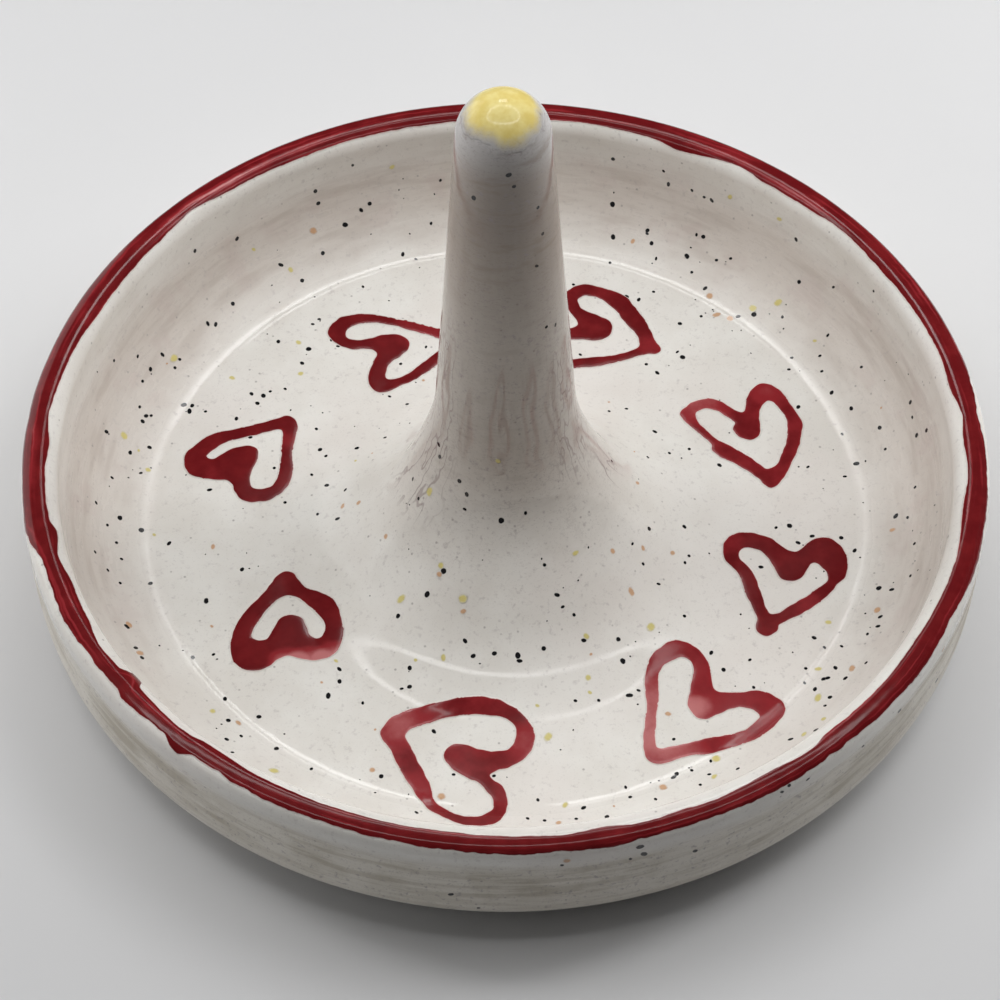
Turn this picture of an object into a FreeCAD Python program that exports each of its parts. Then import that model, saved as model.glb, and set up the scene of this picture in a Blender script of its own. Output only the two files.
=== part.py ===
import FreeCAD, Part
import os
from math import atan, cos, radians, sin, tan

Vector = FreeCAD.Vector

# Ring dish: a shallow glazed bowl with a tapered post in the middle for finger rings.
# It stands on the table with the origin at the middle of its foot ring and +Z up the post.
# Lengths are in millimetres and angles in degrees.

# Clay bowl
dish_radius = 69.5
rim_height = 22.5
lip_radius = 2.1
edge_radius = 9.5
cove_radius = 14.0
floor_thickness = 4.1
foot_radius = 57.0
foot_width = 6.0
foot_height = 1.2

# Clay post: a domed tip, a tapered shaft and a foot that sweeps out on a quarter ellipse.
# The flare ends in a low toe, which stands on the slip that joins it to the floor.
post_length = 84.15
tip_radius = 5.8
post_taper = 4.1
flare_width = 25.0
flare_height = 30.0
toe_height = 0.15
slip_thickness = 0.15

# Glaze coat, which thins out over the toe and stops on the rounded edge short of the foot ring
glaze_thickness = 0.5
glaze_stop_angle = -65.0
toe_coat_share = 0.3

# Brushed colour, which lies a hair clear of the glaze
paint_thickness = 0.15
paint_clearance = 0.1
band_outer_angle = 30.0
band_inner_angle = 125.0
tip_paint_angle = 25.0

# Hearts: the side of the square that each heart is drawn in
heart_size = 20.0


# Points of a section are a radius from the post's axis and a height over the table.
def point(radius, height):
    return Vector(radius, 0, height)


def line(start, end):
    return Part.LineSegment(point(*start), point(*end)).toShape()


def polyline(corners):
    return [line(start, end) for start, end in zip(corners, corners[1:])]


def on_circle(center, radius, angle):
    return (center[0] + radius * cos(radians(angle)), center[1] + radius * sin(radians(angle)))


def arc(center, radius, start_angle, end_angle):
    middle_angle = (start_angle + end_angle) / 2
    places = [on_circle(center, radius, angle) for angle in (start_angle, middle_angle, end_angle)]
    return Part.Arc(*[point(*place) for place in places]).toShape()


def turn(edges):
    section = Part.Face(Part.Wire(Part.__sortEdges__(edges)))
    return section.revolve(Vector(0, 0, 0), Vector(0, 0, 1), 360)


# Places that follow from the sizes
floor_height = foot_height + floor_thickness
inner_radius = dish_radius - lip_radius - lip_radius
lip_center = (dish_radius - lip_radius, rim_height - lip_radius)
cove_center = (inner_radius - cove_radius, floor_height + cove_radius)
edge_center = (dish_radius - edge_radius, foot_height + edge_radius)
post_foot = floor_height + slip_thickness
paint_bottom = glaze_thickness + paint_clearance
paint_top = paint_bottom + paint_thickness
dome_center = (0, floor_height + post_length - tip_radius)

# The flare's ellipse touches the shaft's line, and its lowest point is the toe.
taper_slope = tan(radians(post_taper))
flare_start = atan(taper_slope * flare_height / flare_width)
flare_center_height = post_foot + toe_height + flare_height
shaft_top = on_circle(dome_center, tip_radius, post_taper)
shaft_length = shaft_top[1] - flare_center_height + flare_height * sin(flare_start)
shaft_foot_radius = shaft_top[0] + shaft_length * taper_slope
toe_radius = shaft_foot_radius + flare_width * cos(flare_start)


# The clay bowl: foot ring, rounded edge, upright wall, round lip and a coved inside.
def dish_body():
    under = (0, foot_height)
    foot_inner_radius = foot_radius - foot_width
    foot = [
        under,
        (foot_inner_radius, foot_height),
        (foot_inner_radius, 0),
        (foot_radius, 0),
        (foot_radius, foot_height),
        (edge_center[0], foot_height),
    ]
    edges = polyline(foot)
    edges.append(arc(edge_center, edge_radius, -90, 0))
    edges.append(line((dish_radius, edge_center[1]), (dish_radius, lip_center[1])))
    edges.append(arc(lip_center, lip_radius, 0, 180))
    edges.append(line((inner_radius, lip_center[1]), (inner_radius, cove_center[1])))
    edges.append(arc(cove_center, cove_radius, 0, -90))
    edges += polyline([(cove_center[0], floor_height), (0, floor_height), under])
    return turn(edges)


# The flare at a growth over the clay: its edge, its top on the shaft and its toe.
# A coat thins out towards the clay toe, where it lies level with the floor's coat if that is higher.
def flare_outline(growth):
    wide = flare_width - growth
    toe = (toe_radius, max(floor_height + growth, post_foot + toe_height + growth * toe_coat_share))
    tall = flare_center_height - toe[1]
    start = atan(taper_slope * tall / wide)
    top = (toe_radius - wide * cos(start), flare_center_height - tall * sin(start))
    ellipse = Part.Ellipse(
        point(*toe),
        point(toe_radius - wide, flare_center_height),
        point(toe_radius, flare_center_height),
    )
    ends = [ellipse.parameter(point(*place)) for place in (toe, top)]
    return Part.ArcOfEllipse(ellipse, *ends).toShape(), top, toe


# The shaft and its dome at a growth over the clay, down to the top of the flare.
def shaft_outline(growth):
    dome_radius = tip_radius + growth
    flare_top = flare_outline(growth)[1]
    dome = arc(dome_center, dome_radius, 90, post_taper)
    return [dome, line(on_circle(dome_center, dome_radius, post_taper), flare_top)]


# The clay post, its flat foot resting on the slip that joins it to the floor.
def ring_post():
    flare, top, toe = flare_outline(0)
    foot = polyline([toe, (toe_radius, post_foot), (0, post_foot), on_circle(dome_center, tip_radius, 90)])
    return turn(shaft_outline(0) + [flare] + foot)


# The slip that was brushed between the post's foot and the floor.
def luting_slip():
    return Part.makeCylinder(toe_radius, slip_thickness, Vector(0, 0, floor_height))


# A layer over the inside of the bowl, between two growths over the clay,
# from the top of the flare over the floor and cove to an angle on the lip.
def inside_layer(low, high, lip_angle):
    edges = []
    flare_tops = []
    for growth in (low, high):
        floor = floor_height + growth
        wall = inner_radius - growth
        flare, top, toe = flare_outline(growth)
        flare_tops.append(top)
        edges.append(flare)
        if toe[1] > floor:
            edges.append(line(toe, (toe_radius, floor)))
        edges.append(line((toe_radius, floor), (cove_center[0], floor)))
        edges.append(arc(cove_center, cove_radius - growth, -90, 0))
        edges.append(line((wall, cove_center[1]), (wall, lip_center[1])))
        edges.append(arc(lip_center, lip_radius + growth, 180, lip_angle))
    edges.append(line(*flare_tops))
    edges.append(line(*[on_circle(lip_center, lip_radius + growth, lip_angle) for growth in (low, high)]))
    return turn(edges)


# The coat on the flare, floor and inner wall, which meets the outer coat on top of the lip.
def inside_glaze():
    return inside_layer(0, glaze_thickness, 90)


# The coat on the post's shaft and tip.
def post_glaze():
    growths = (0, glaze_thickness)
    crowns = [on_circle(dome_center, tip_radius + growth, 90) for growth in growths]
    flare_tops = [flare_outline(growth)[1] for growth in growths]
    skins = shaft_outline(0) + shaft_outline(glaze_thickness)
    return turn(skins + [line(*crowns), line(*flare_tops)])


# The coat on the outer wall, from the top of the lip to its stop on the rounded edge.
def outside_glaze():
    edges = []
    for growth in (0, glaze_thickness):
        wall = dish_radius + growth
        edges.append(arc(lip_center, lip_radius + growth, 90, 0))
        edges.append(line((wall, lip_center[1]), (wall, edge_center[1])))
        edges.append(arc(edge_center, edge_radius + growth, 0, glaze_stop_angle))
    stops = [(lip_center, lip_radius, 90), (edge_center, edge_radius, glaze_stop_angle)]
    for center, radius, angle in stops:
        ends = [on_circle(center, radius + growth, angle) for growth in (0, glaze_thickness)]
        edges.append(line(*ends))
    return turn(edges)


# A brushed layer on the glaze of a round profile, between two angles on it.
def brushed_arc(center, clay_radius, start_angle, end_angle):
    low = clay_radius + paint_bottom
    high = clay_radius + paint_top
    edges = [arc(center, radius, start_angle, end_angle) for radius in (low, high)]
    for angle in (start_angle, end_angle):
        edges.append(line(on_circle(center, low, angle), on_circle(center, high, angle)))
    return turn(edges)


# The red band over the lip.
def rim_band():
    return brushed_arc(lip_center, lip_radius, band_outer_angle, band_inner_angle)


# The yellow cap over the post's tip.
def yellow_tip():
    return brushed_arc(dome_center, tip_radius, tip_paint_angle, 90)


# Each heart: where its square is centred, in shares of the glazed dish radius, and then
# its outer and inner outlines in shares of heart_size, all along +X and +Y.
heart_shares = {
    "heart_back_left": (
        (-0.267, 0.45),
        [(-0.40, 0.30), (-0.33, 0.35), (-0.17, 0.375), (0.0, 0.345), (0.2, 0.285), (0.4, 0.22),
         (0.6, 0.16), (0.67, 0.12), (0.62, 0.05), (0.5, -0.05), (0.4, -0.14), (0.3, -0.24),
         (0.2, -0.32), (0.12, -0.36), (0.04, -0.41), (-0.04, -0.42), (-0.1, -0.36), (-0.12, -0.27),
         (-0.1, -0.17), (-0.06, -0.05), (-0.09, 0.01), (-0.16, 0.025), (-0.26, 0.018),
         (-0.34, 0.05), (-0.42, 0.12), (-0.45, 0.19), (-0.43, 0.26)],
        [(-0.3, 0.23), (-0.22, 0.28), (-0.08, 0.295), (0.05, 0.27), (0.18, 0.22), (0.3, 0.18),
         (0.42, 0.13), (0.52, 0.09), (0.46, 0.03), (0.4, -0.03), (0.33, -0.1), (0.25, -0.18),
         (0.18, -0.25), (0.1, -0.29), (0.03, -0.305), (0.0, -0.26), (0.01, -0.19), (0.05, -0.11),
         (0.12, -0.05), (0.175, 0.02), (0.175, 0.09), (0.12, 0.145), (0.05, 0.165), (-0.04, 0.15),
         (-0.12, 0.12), (-0.22, 0.1), (-0.29, 0.115), (-0.325, 0.16)],
    ),
    "heart_back_right": (
        (0.214, 0.522),
        [(-0.26, 0.35), (-0.2, 0.41), (-0.11, 0.44), (0.0, 0.41), (0.12, 0.36), (0.2, 0.31),
         (0.27, 0.2), (0.34, 0.07), (0.39, -0.05), (0.42, -0.15), (0.46, -0.24), (0.43, -0.285),
         (0.36, -0.28), (0.25, -0.32), (0.14, -0.36), (0.0, -0.4), (-0.12, -0.42), (-0.24, -0.43),
         (-0.36, -0.42), (-0.45, -0.34), (-0.46, -0.2), (-0.4, -0.08), (-0.3, -0.03),
         (-0.22, -0.025), (-0.175, 0.01), (-0.175, 0.06), (-0.21, 0.12), (-0.25, 0.2), (-0.27, 0.28)],
        [(-0.18, 0.27), (-0.16, 0.31), (-0.1, 0.33), (0.0, 0.3), (0.06, 0.25), (0.13, 0.17),
         (0.18, 0.08), (0.23, 0.0), (0.28, -0.07), (0.31, -0.15), (0.3, -0.22), (0.24, -0.26),
         (0.13, -0.3), (0.0, -0.325), (-0.12, -0.335), (-0.24, -0.35), (-0.32, -0.33), (-0.36, -0.26),
         (-0.34, -0.18), (-0.26, -0.14), (-0.14, -0.135), (-0.05, -0.145), (0.02, -0.13),
         (0.07, -0.08), (0.09, -0.01), (0.07, 0.05), (0.0, 0.1), (-0.08, 0.14), (-0.15, 0.19)],
    ),
    "heart_right_back": (
        (0.521, 0.207),
        [(-0.48, 0.2), (-0.44, 0.26), (-0.37, 0.32), (-0.25, 0.355), (-0.16, 0.32), (-0.08, 0.25),
         (-0.01, 0.22), (0.025, 0.25), (0.04, 0.33), (0.07, 0.42), (0.12, 0.485), (0.18, 0.505),
         (0.25, 0.48), (0.31, 0.42), (0.36, 0.31), (0.42, 0.19), (0.445, 0.1), (0.425, -0.01),
         (0.4, -0.12), (0.36, -0.23), (0.31, -0.34), (0.26, -0.43), (0.22, -0.49), (0.17, -0.515),
         (0.13, -0.48), (0.08, -0.42), (0.02, -0.36), (-0.08, -0.28), (-0.18, -0.22), (-0.24, -0.16),
         (-0.25, -0.1), (-0.3, -0.03), (-0.38, 0.06), (-0.44, 0.13)],
        [(-0.37, 0.21), (-0.33, 0.25), (-0.26, 0.265), (-0.19, 0.24), (-0.12, 0.18), (-0.06, 0.12),
         (-0.08, 0.05), (-0.04, -0.01), (0.02, -0.04), (0.07, -0.04), (0.11, 0.0), (0.12, 0.09),
         (0.12, 0.2), (0.14, 0.28), (0.19, 0.34), (0.24, 0.33), (0.29, 0.26), (0.33, 0.18),
         (0.34, 0.08), (0.33, -0.05), (0.29, -0.17), (0.25, -0.28), (0.2, -0.33), (0.15, -0.34),
         (0.1, -0.3), (0.03, -0.23), (-0.06, -0.16), (-0.14, -0.1), (-0.22, -0.05), (-0.3, 0.05),
         (-0.35, 0.12)],
    ),
    "heart_right": (
        (0.589, -0.193),
        [(-0.45, 0.27), (-0.43, 0.36), (-0.38, 0.42), (-0.29, 0.455), (-0.18, 0.43), (-0.09, 0.39),
         (-0.02, 0.325), (0.04, 0.28), (0.1, 0.28), (0.16, 0.33), (0.22, 0.385), (0.3, 0.405),
         (0.38, 0.37), (0.44, 0.28), (0.45, 0.15), (0.43, 0.06), (0.37, -0.01), (0.31, -0.09),
         (0.22, -0.18), (0.1, -0.27), (0.0, -0.33), (-0.08, -0.38), (-0.11, -0.44), (-0.17, -0.48),
         (-0.23, -0.45), (-0.24, -0.39), (-0.23, -0.32), (-0.26, -0.22), (-0.3, -0.1), (-0.33, 0.04),
         (-0.38, 0.13), (-0.43, 0.19)],
        [(-0.33, 0.29), (-0.28, 0.325), (-0.19, 0.3), (-0.13, 0.24), (-0.09, 0.17), (-0.06, 0.08),
         (-0.02, 0.03), (0.05, 0.015), (0.11, 0.05), (0.15, 0.11), (0.18, 0.17), (0.23, 0.18),
         (0.29, 0.12), (0.31, 0.06), (0.3, 0.0), (0.23, -0.06), (0.12, -0.15), (0.0, -0.23),
         (-0.08, -0.29), (-0.14, -0.29), (-0.17, -0.24), (-0.19, -0.15), (-0.22, -0.02), (-0.25, 0.08),
         (-0.3, 0.16), (-0.34, 0.22)],
    ),
    "heart_front_right": (
        (0.421, -0.493),
        [(-0.47, 0.2), (-0.43, 0.35), (-0.36, 0.44), (-0.27, 0.505), (-0.18, 0.5), (-0.09, 0.44),
         (-0.03, 0.34), (-0.01, 0.22), (0.0, 0.12), (0.04, 0.075), (0.12, 0.065), (0.22, 0.07),
         (0.33, 0.085), (0.43, 0.04), (0.495, -0.03), (0.49, -0.12), (0.43, -0.2), (0.34, -0.29),
         (0.22, -0.35), (0.08, -0.4), (-0.05, -0.44), (-0.18, -0.45), (-0.29, -0.49), (-0.38, -0.525),
         (-0.45, -0.51), (-0.49, -0.45), (-0.5, -0.34), (-0.485, -0.2), (-0.465, -0.05), (-0.47, 0.08)],
        [(-0.39, 0.2), (-0.36, 0.29), (-0.29, 0.35), (-0.2, 0.385), (-0.14, 0.35), (-0.12, 0.27),
         (-0.14, 0.15), (-0.17, 0.02), (-0.165, -0.07), (-0.12, -0.13), (-0.06, -0.145), (0.02, -0.11),
         (0.12, -0.06), (0.2, -0.045), (0.28, -0.07), (0.33, -0.13), (0.28, -0.2), (0.2, -0.26),
         (0.08, -0.295), (-0.05, -0.32), (-0.18, -0.36), (-0.3, -0.39), (-0.38, -0.405), (-0.42, -0.38),
         (-0.43, -0.28), (-0.41, -0.12), (-0.39, 0.05)],
    ),
    "heart_front": (
        (-0.093, -0.636),
        [(-0.55, 0.24), (-0.5, 0.33), (-0.4, 0.4), (-0.25, 0.455), (-0.1, 0.49), (0.05, 0.515),
         (0.2, 0.51), (0.32, 0.47), (0.42, 0.4), (0.49, 0.31), (0.525, 0.2), (0.5, 0.09), (0.43, 0.0),
         (0.35, -0.05), (0.26, -0.08), (0.21, -0.12), (0.24, -0.17), (0.3, -0.22), (0.33, -0.32),
         (0.32, -0.42), (0.28, -0.5), (0.2, -0.545), (0.1, -0.55), (0.0, -0.53), (-0.08, -0.48),
         (-0.18, -0.42), (-0.24, -0.35), (-0.31, -0.24), (-0.37, -0.14), (-0.43, -0.02), (-0.48, 0.1),
         (-0.53, 0.17)],
        [(-0.38, 0.23), (-0.32, 0.28), (-0.2, 0.33), (-0.08, 0.37), (0.05, 0.39), (0.2, 0.385),
         (0.32, 0.36), (0.39, 0.3), (0.41, 0.22), (0.39, 0.14), (0.34, 0.085), (0.25, 0.07),
         (0.15, 0.085), (0.06, 0.12), (0.0, 0.13), (-0.07, 0.11), (-0.1, 0.05), (-0.08, -0.02),
         (-0.02, -0.08), (0.06, -0.135), (0.13, -0.17), (0.19, -0.24), (0.24, -0.31), (0.24, -0.4),
         (0.17, -0.46), (0.08, -0.475), (-0.02, -0.45), (-0.12, -0.39), (-0.18, -0.32), (-0.2, -0.22),
         (-0.24, -0.13), (-0.29, -0.02), (-0.34, 0.1), (-0.38, 0.17)],
    ),
    "heart_left_front": (
        (-0.453, -0.293),
        [(-0.02, 0.44), (-0.08, 0.41), (-0.14, 0.31), (-0.2, 0.21), (-0.29, 0.1), (-0.35, -0.02),
         (-0.38, -0.12), (-0.39, -0.23), (-0.36, -0.35), (-0.29, -0.42), (-0.2, -0.43), (-0.12, -0.4),
         (-0.05, -0.33), (0.02, -0.3), (0.1, -0.32), (0.2, -0.34), (0.32, -0.31), (0.39, -0.22),
         (0.405, -0.1), (0.38, 0.05), (0.32, 0.17), (0.22, 0.24), (0.12, 0.29), (0.07, 0.35),
         (0.03, 0.42)],
        [(0.0, 0.235), (-0.07, 0.21), (-0.14, 0.13), (-0.2, 0.03), (-0.25, -0.08), (-0.25, -0.15),
         (-0.19, -0.18), (-0.13, -0.16), (-0.09, -0.08), (-0.05, 0.01), (0.03, 0.05), (0.1, 0.02),
         (0.14, -0.05), (0.17, -0.13), (0.22, -0.16), (0.27, -0.13), (0.285, -0.04), (0.24, 0.05),
         (0.16, 0.14), (0.08, 0.21)],
    ),
    "heart_left": (
        (-0.572, 0.142),
        [(0.33, 0.405), (0.26, 0.38), (0.15, 0.34), (0.02, 0.295), (-0.12, 0.26), (-0.25, 0.215),
         (-0.33, 0.14), (-0.4, 0.06), (-0.425, -0.03), (-0.39, -0.14), (-0.32, -0.18), (-0.2, -0.205),
         (-0.11, -0.21), (-0.05, -0.25), (-0.02, -0.33), (0.03, -0.4), (0.12, -0.42), (0.22, -0.405),
         (0.32, -0.33), (0.38, -0.22), (0.39, -0.1), (0.38, 0.05), (0.395, 0.2), (0.41, 0.3),
         (0.39, 0.37)],
        [(0.28, 0.28), (0.2, 0.265), (0.1, 0.23), (-0.02, 0.195), (-0.14, 0.15), (-0.22, 0.08),
         (-0.27, 0.02), (-0.24, -0.015), (-0.19, -0.01), (-0.13, 0.04), (-0.05, 0.09), (0.04, 0.11),
         (0.11, 0.08), (0.12, 0.0), (0.09, -0.1), (0.07, -0.2), (0.09, -0.28), (0.14, -0.31),
         (0.21, -0.3), (0.27, -0.25), (0.3, -0.15), (0.31, 0.0), (0.31, 0.15), (0.31, 0.25)],
    ),
}


# A closed smooth outline on the table, around a place on the dish.
def outline(center, shares):
    corners = [Vector(center[0] + heart_size * x, center[1] + heart_size * y, 0) for x, y in shares]
    curve = Part.BSplineCurve()
    curve.interpolate(corners, PeriodicFlag=True)
    return Part.Wire([span.toShape() for span in curve.toBezier()])


# A heart is the part of a brushed layer on the flare, floor and cove that lies within its outline.
def heart(place_shares, outer_shares, inner_shares):
    center = [(dish_radius + glaze_thickness) * share for share in place_shares]
    rings = [outline(center, shares) for shares in (outer_shares, inner_shares)]
    filled, hole = [Part.Face(ring).extrude(Vector(0, 0, rim_height)) for ring in rings]
    layer = inside_layer(paint_bottom, paint_top, band_inner_angle)
    return layer.common(filled).cut(hole)


pieces = (dish_body, ring_post, luting_slip, inside_glaze, post_glaze, outside_glaze, rim_band, yellow_tip)
os.makedirs("parts", exist_ok=True)
for piece in pieces:
    piece().exportStep("parts/" + piece.__name__ + ".step")
for node, drawing in heart_shares.items():
    heart(*drawing).exportStep("parts/" + node + ".step")
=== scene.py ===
import bpy
import bmesh
from math import cos, hypot, pi, radians, sin, sqrt
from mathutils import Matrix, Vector, noise
from mathutils.bvhtree import BVHTree
from mathutils.geometry import delaunay_2d_cdt
from mathutils.kdtree import KDTree
from random import Random


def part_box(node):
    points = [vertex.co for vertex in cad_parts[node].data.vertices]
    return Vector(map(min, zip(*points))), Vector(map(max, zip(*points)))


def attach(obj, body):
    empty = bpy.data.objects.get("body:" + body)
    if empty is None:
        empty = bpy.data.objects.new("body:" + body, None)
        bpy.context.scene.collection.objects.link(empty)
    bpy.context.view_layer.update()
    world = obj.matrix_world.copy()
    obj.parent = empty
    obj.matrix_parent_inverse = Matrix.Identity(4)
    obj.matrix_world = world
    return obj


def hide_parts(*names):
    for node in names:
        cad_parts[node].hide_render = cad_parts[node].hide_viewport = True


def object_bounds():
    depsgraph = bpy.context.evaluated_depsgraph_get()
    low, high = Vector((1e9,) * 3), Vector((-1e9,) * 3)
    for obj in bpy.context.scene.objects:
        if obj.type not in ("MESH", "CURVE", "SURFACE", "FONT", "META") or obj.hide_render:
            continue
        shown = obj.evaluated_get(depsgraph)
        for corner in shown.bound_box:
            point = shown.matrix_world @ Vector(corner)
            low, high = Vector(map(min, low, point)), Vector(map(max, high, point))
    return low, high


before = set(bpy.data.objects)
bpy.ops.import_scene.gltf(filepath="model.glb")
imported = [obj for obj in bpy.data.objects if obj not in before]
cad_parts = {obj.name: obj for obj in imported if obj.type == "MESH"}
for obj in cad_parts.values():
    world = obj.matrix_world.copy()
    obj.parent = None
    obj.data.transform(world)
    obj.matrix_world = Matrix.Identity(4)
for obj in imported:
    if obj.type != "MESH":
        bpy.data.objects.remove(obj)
cad_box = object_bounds()
mm = 0.001

# Clay bowl: a shallow dish of white earthenware with a low foot ring, turned on a wheel and fired.
# Its section is a line of points, each a radius from the middle and a height over the table,
# and the wheel is a node tree that turns the section round the middle.
bowl_low, bowl_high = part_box("dish_body")
bowl_radius = bowl_high.x
bowl_lip = 2.1 * mm
bowl_edge = 9.5 * mm
bowl_cove = 14.0 * mm
bowl_floor = 4.1 * mm
foot_height = 1.2 * mm
foot_inner_radius = 51.0 * mm
foot_outer_radius = 57.0 * mm
foot_rounding = 0.5 * mm
wheel_steps = 360
weld_distance = 0.002 * mm
ripple_length = 22 * mm
lean_heights = (25 * mm, 90 * mm)
shift_start = (11 * mm, 20 * mm)
shift_end = (36 * mm, 50 * mm)


class Wire:
    """A socket of a node tree. Sums of wires and numbers add Math nodes to the tree."""

    def __init__(self, tree, socket=None):
        self.tree = tree
        self.socket = socket

    def node(self, kind, inputs=None, output=0, **settings):
        """Adds a node: its settings first, then the values or wires of its sockets by name or place."""
        node = self.tree.nodes.new(kind)
        for name, value in settings.items():
            setattr(node, name, value)
        for name, value in (inputs or {}).items():
            if isinstance(value, Wire):
                self.tree.links.new(value.socket, node.inputs[name])
            else:
                node.inputs[name].default_value = value
        return Wire(self.tree, node.outputs[output] if node.outputs else None)

    def out(self, name):
        return Wire(self.tree, self.socket.node.outputs[name])

    def math(self, operation, *others):
        return self.node("ShaderNodeMath", dict(enumerate((self, *others))), operation=operation)

    def __add__(self, other):
        return self.math("ADD", other)

    def __sub__(self, other):
        return self.math("SUBTRACT", other)

    def __mul__(self, other):
        return self.math("MULTIPLY", other)

    def __truediv__(self, other):
        return self.math("DIVIDE", other)

    __radd__ = __add__
    __rmul__ = __mul__

    def __rsub__(self, other):
        return self * -1 + other

    def rise(self, low, high):
        """0 below low and 1 above high, with a smooth step between them."""
        limits = {"Value": self, "From Min": low, "From Max": high}
        return self.node("ShaderNodeMapRange", limits, interpolation_type="SMOOTHSTEP")

    def mix(self, first, second):
        """A colour between two colours, where this wire is the share of the second."""
        return self.node("ShaderNodeMix", {0: self, 6: first, 7: second}, 2, data_type="RGBA")

    def noise(self, scale, detail=2.0, roughness=0.5):
        """Noise over a vector, from 0 to 1."""
        settings = {"Vector": self, "Scale": scale, "Detail": detail, "Roughness": roughness}
        return self.node("ShaderNodeTexNoise", settings)

    def along(self, x, y, z):
        """This vector stretched by a number along each axis."""
        return self.node("ShaderNodeVectorMath", {0: self, 1: (x, y, z)}, operation="MULTIPLY")


def arc(center, radius, start, end, steps):
    angles = [radians(start + (end - start) * step / steps) for step in range(steps + 1)]
    return [(center[0] + radius * cos(angle), center[1] + radius * sin(angle)) for angle in angles]


def run(start, end, steps):
    shares = [step / steps for step in range(steps + 1)]
    return [tuple(a + (b - a) * share for a, b in zip(start, end)) for share in shares]


def new_tree(name, sockets, result):
    tree = bpy.data.node_groups.new(name, "GeometryNodeTree")
    for label, kind in sockets.items():
        tree.interface.new_socket(label, in_out="INPUT", socket_type="NodeSocket" + kind)
    tree.interface.new_socket(result, in_out="OUTPUT", socket_type="NodeSocketGeometry")
    return Wire(tree), Wire(tree).node("NodeGroupInput")


def end_tree(wire, shape, finish):
    smooth = wire.node("GeometryNodeSetShadeSmooth", {"Geometry": shape})
    whole = wire.node("GeometryNodeRealizeInstances", {"Geometry": smooth})
    finished = wire.node("GeometryNodeSetMaterial", {"Geometry": whole, "Material": finish})
    output = wire.tree.nodes.new("NodeGroupOutput")
    wire.tree.links.new(finished.socket, output.inputs[0])
    return wire.tree


def wheel_tree():
    sockets = {"Section": "Geometry", "Steps": "Int", "Ripple": "Float"}
    sockets |= {"Lean": "Float", "Foot": "Vector", "Finish": "Material"}
    wire, given = new_tree("wheel", sockets, "Turned")
    section, steps = given.out("Section"), given.out("Steps")
    rows = wire.node("GeometryNodeAttributeDomainSize", {"Geometry": section})
    columns = steps + 1
    grid = wire.node("GeometryNodeMeshGrid", {"Vertices X": rows, "Vertices Y": columns})
    index = wire.node("GeometryNodeInputIndex")
    row = (index / columns + 0.5 / (wheel_steps + 1)).math("FLOOR")
    turn = (index - row * columns) * (2 * pi) / steps
    place = wire.node("GeometryNodeInputPosition")
    sampled = wire.node(
        "GeometryNodeSampleIndex",
        {"Geometry": section, "Value": place, "Index": row},
        data_type="FLOAT_VECTOR",
    )
    parts = wire.node("ShaderNodeSeparateXYZ", {0: sampled})
    radius, height = parts, parts.out("Z")
    around = {"X": radius * turn.math("COSINE"), "Y": radius * turn.math("SINE"), "Z": height}
    turned = wire.node("ShaderNodeCombineXYZ", around)
    shape = wire.node("GeometryNodeSetPosition", {"Geometry": grid, "Position": turned})
    shape = wire.node("GeometryNodeMergeByDistance", {"Geometry": shape, "Distance": weld_distance})
    swell = (place.noise(1 / ripple_length, 1.0) - 0.5) * given.out("Ripple")
    normal = wire.node("GeometryNodeInputNormal")
    ripple = wire.node("ShaderNodeVectorMath", {0: normal, "Scale": swell}, operation="SCALE")
    shape = wire.node("GeometryNodeSetPosition", {"Geometry": shape, "Offset": ripple})
    parts = wire.node("ShaderNodeSeparateXYZ", {0: place})
    lean = parts.out("Z").rise(*lean_heights) * given.out("Lean")
    lean = wire.node("ShaderNodeCombineXYZ", {"X": lean})
    shape = wire.node("GeometryNodeSetPosition", {"Geometry": shape, "Offset": lean})
    radius = wire.node("ShaderNodeVectorMath", {0: place.along(1, 1, 0)}, "Value", operation="LENGTH")
    near = radius.rise(*shift_start) * (1 - radius.rise(*shift_end))
    shift = wire.node("ShaderNodeVectorMath", {0: given.out("Foot"), "Scale": near}, operation="SCALE")
    shape = wire.node("GeometryNodeSetPosition", {"Geometry": shape, "Offset": shift})
    return end_tree(wire, shape, given.out("Finish"))


def grown(name, start, tree, **inputs):
    """The plain mesh that a tree makes of a starting mesh, as a piece of its own."""
    piece = bpy.data.objects.new(name, start)
    bpy.context.scene.collection.objects.link(piece)
    modifier = piece.modifiers.new(tree.name, "NODES")
    modifier.node_group = tree
    for item in tree.interface.items_tree:
        if item.name in inputs:
            modifier[item.identifier] = inputs[item.name]
    depsgraph = bpy.context.evaluated_depsgraph_get()
    result = bpy.data.meshes.new_from_object(piece.evaluated_get(depsgraph))
    piece.modifiers.remove(modifier)
    piece.data = result
    return piece


def points_mesh(name, places):
    mesh = bpy.data.meshes.new(name)
    mesh.from_pydata(places, [], [])
    return mesh


def turned(name, section, finish, ripple=0.0, lean=0.0, foot=(0.0, 0.0, 0.0)):
    start = points_mesh(name, [(radius, 0, height) for radius, height in section])
    return grown(name, start, wheel, Steps=wheel_steps, Ripple=ripple, Lean=lean, Foot=foot, Finish=finish)


def new_finish(name):
    material = bpy.data.materials.new(name)
    material.use_nodes = True
    material.node_tree.nodes.clear()
    wire = Wire(material.node_tree)
    return material, wire, wire.node("ShaderNodeTexCoord", output="Object")


def end_finish(wire, inputs):
    surface = wire.node("ShaderNodeBsdfPrincipled", inputs)
    wire.node("ShaderNodeOutputMaterial", {"Surface": surface})


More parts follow.
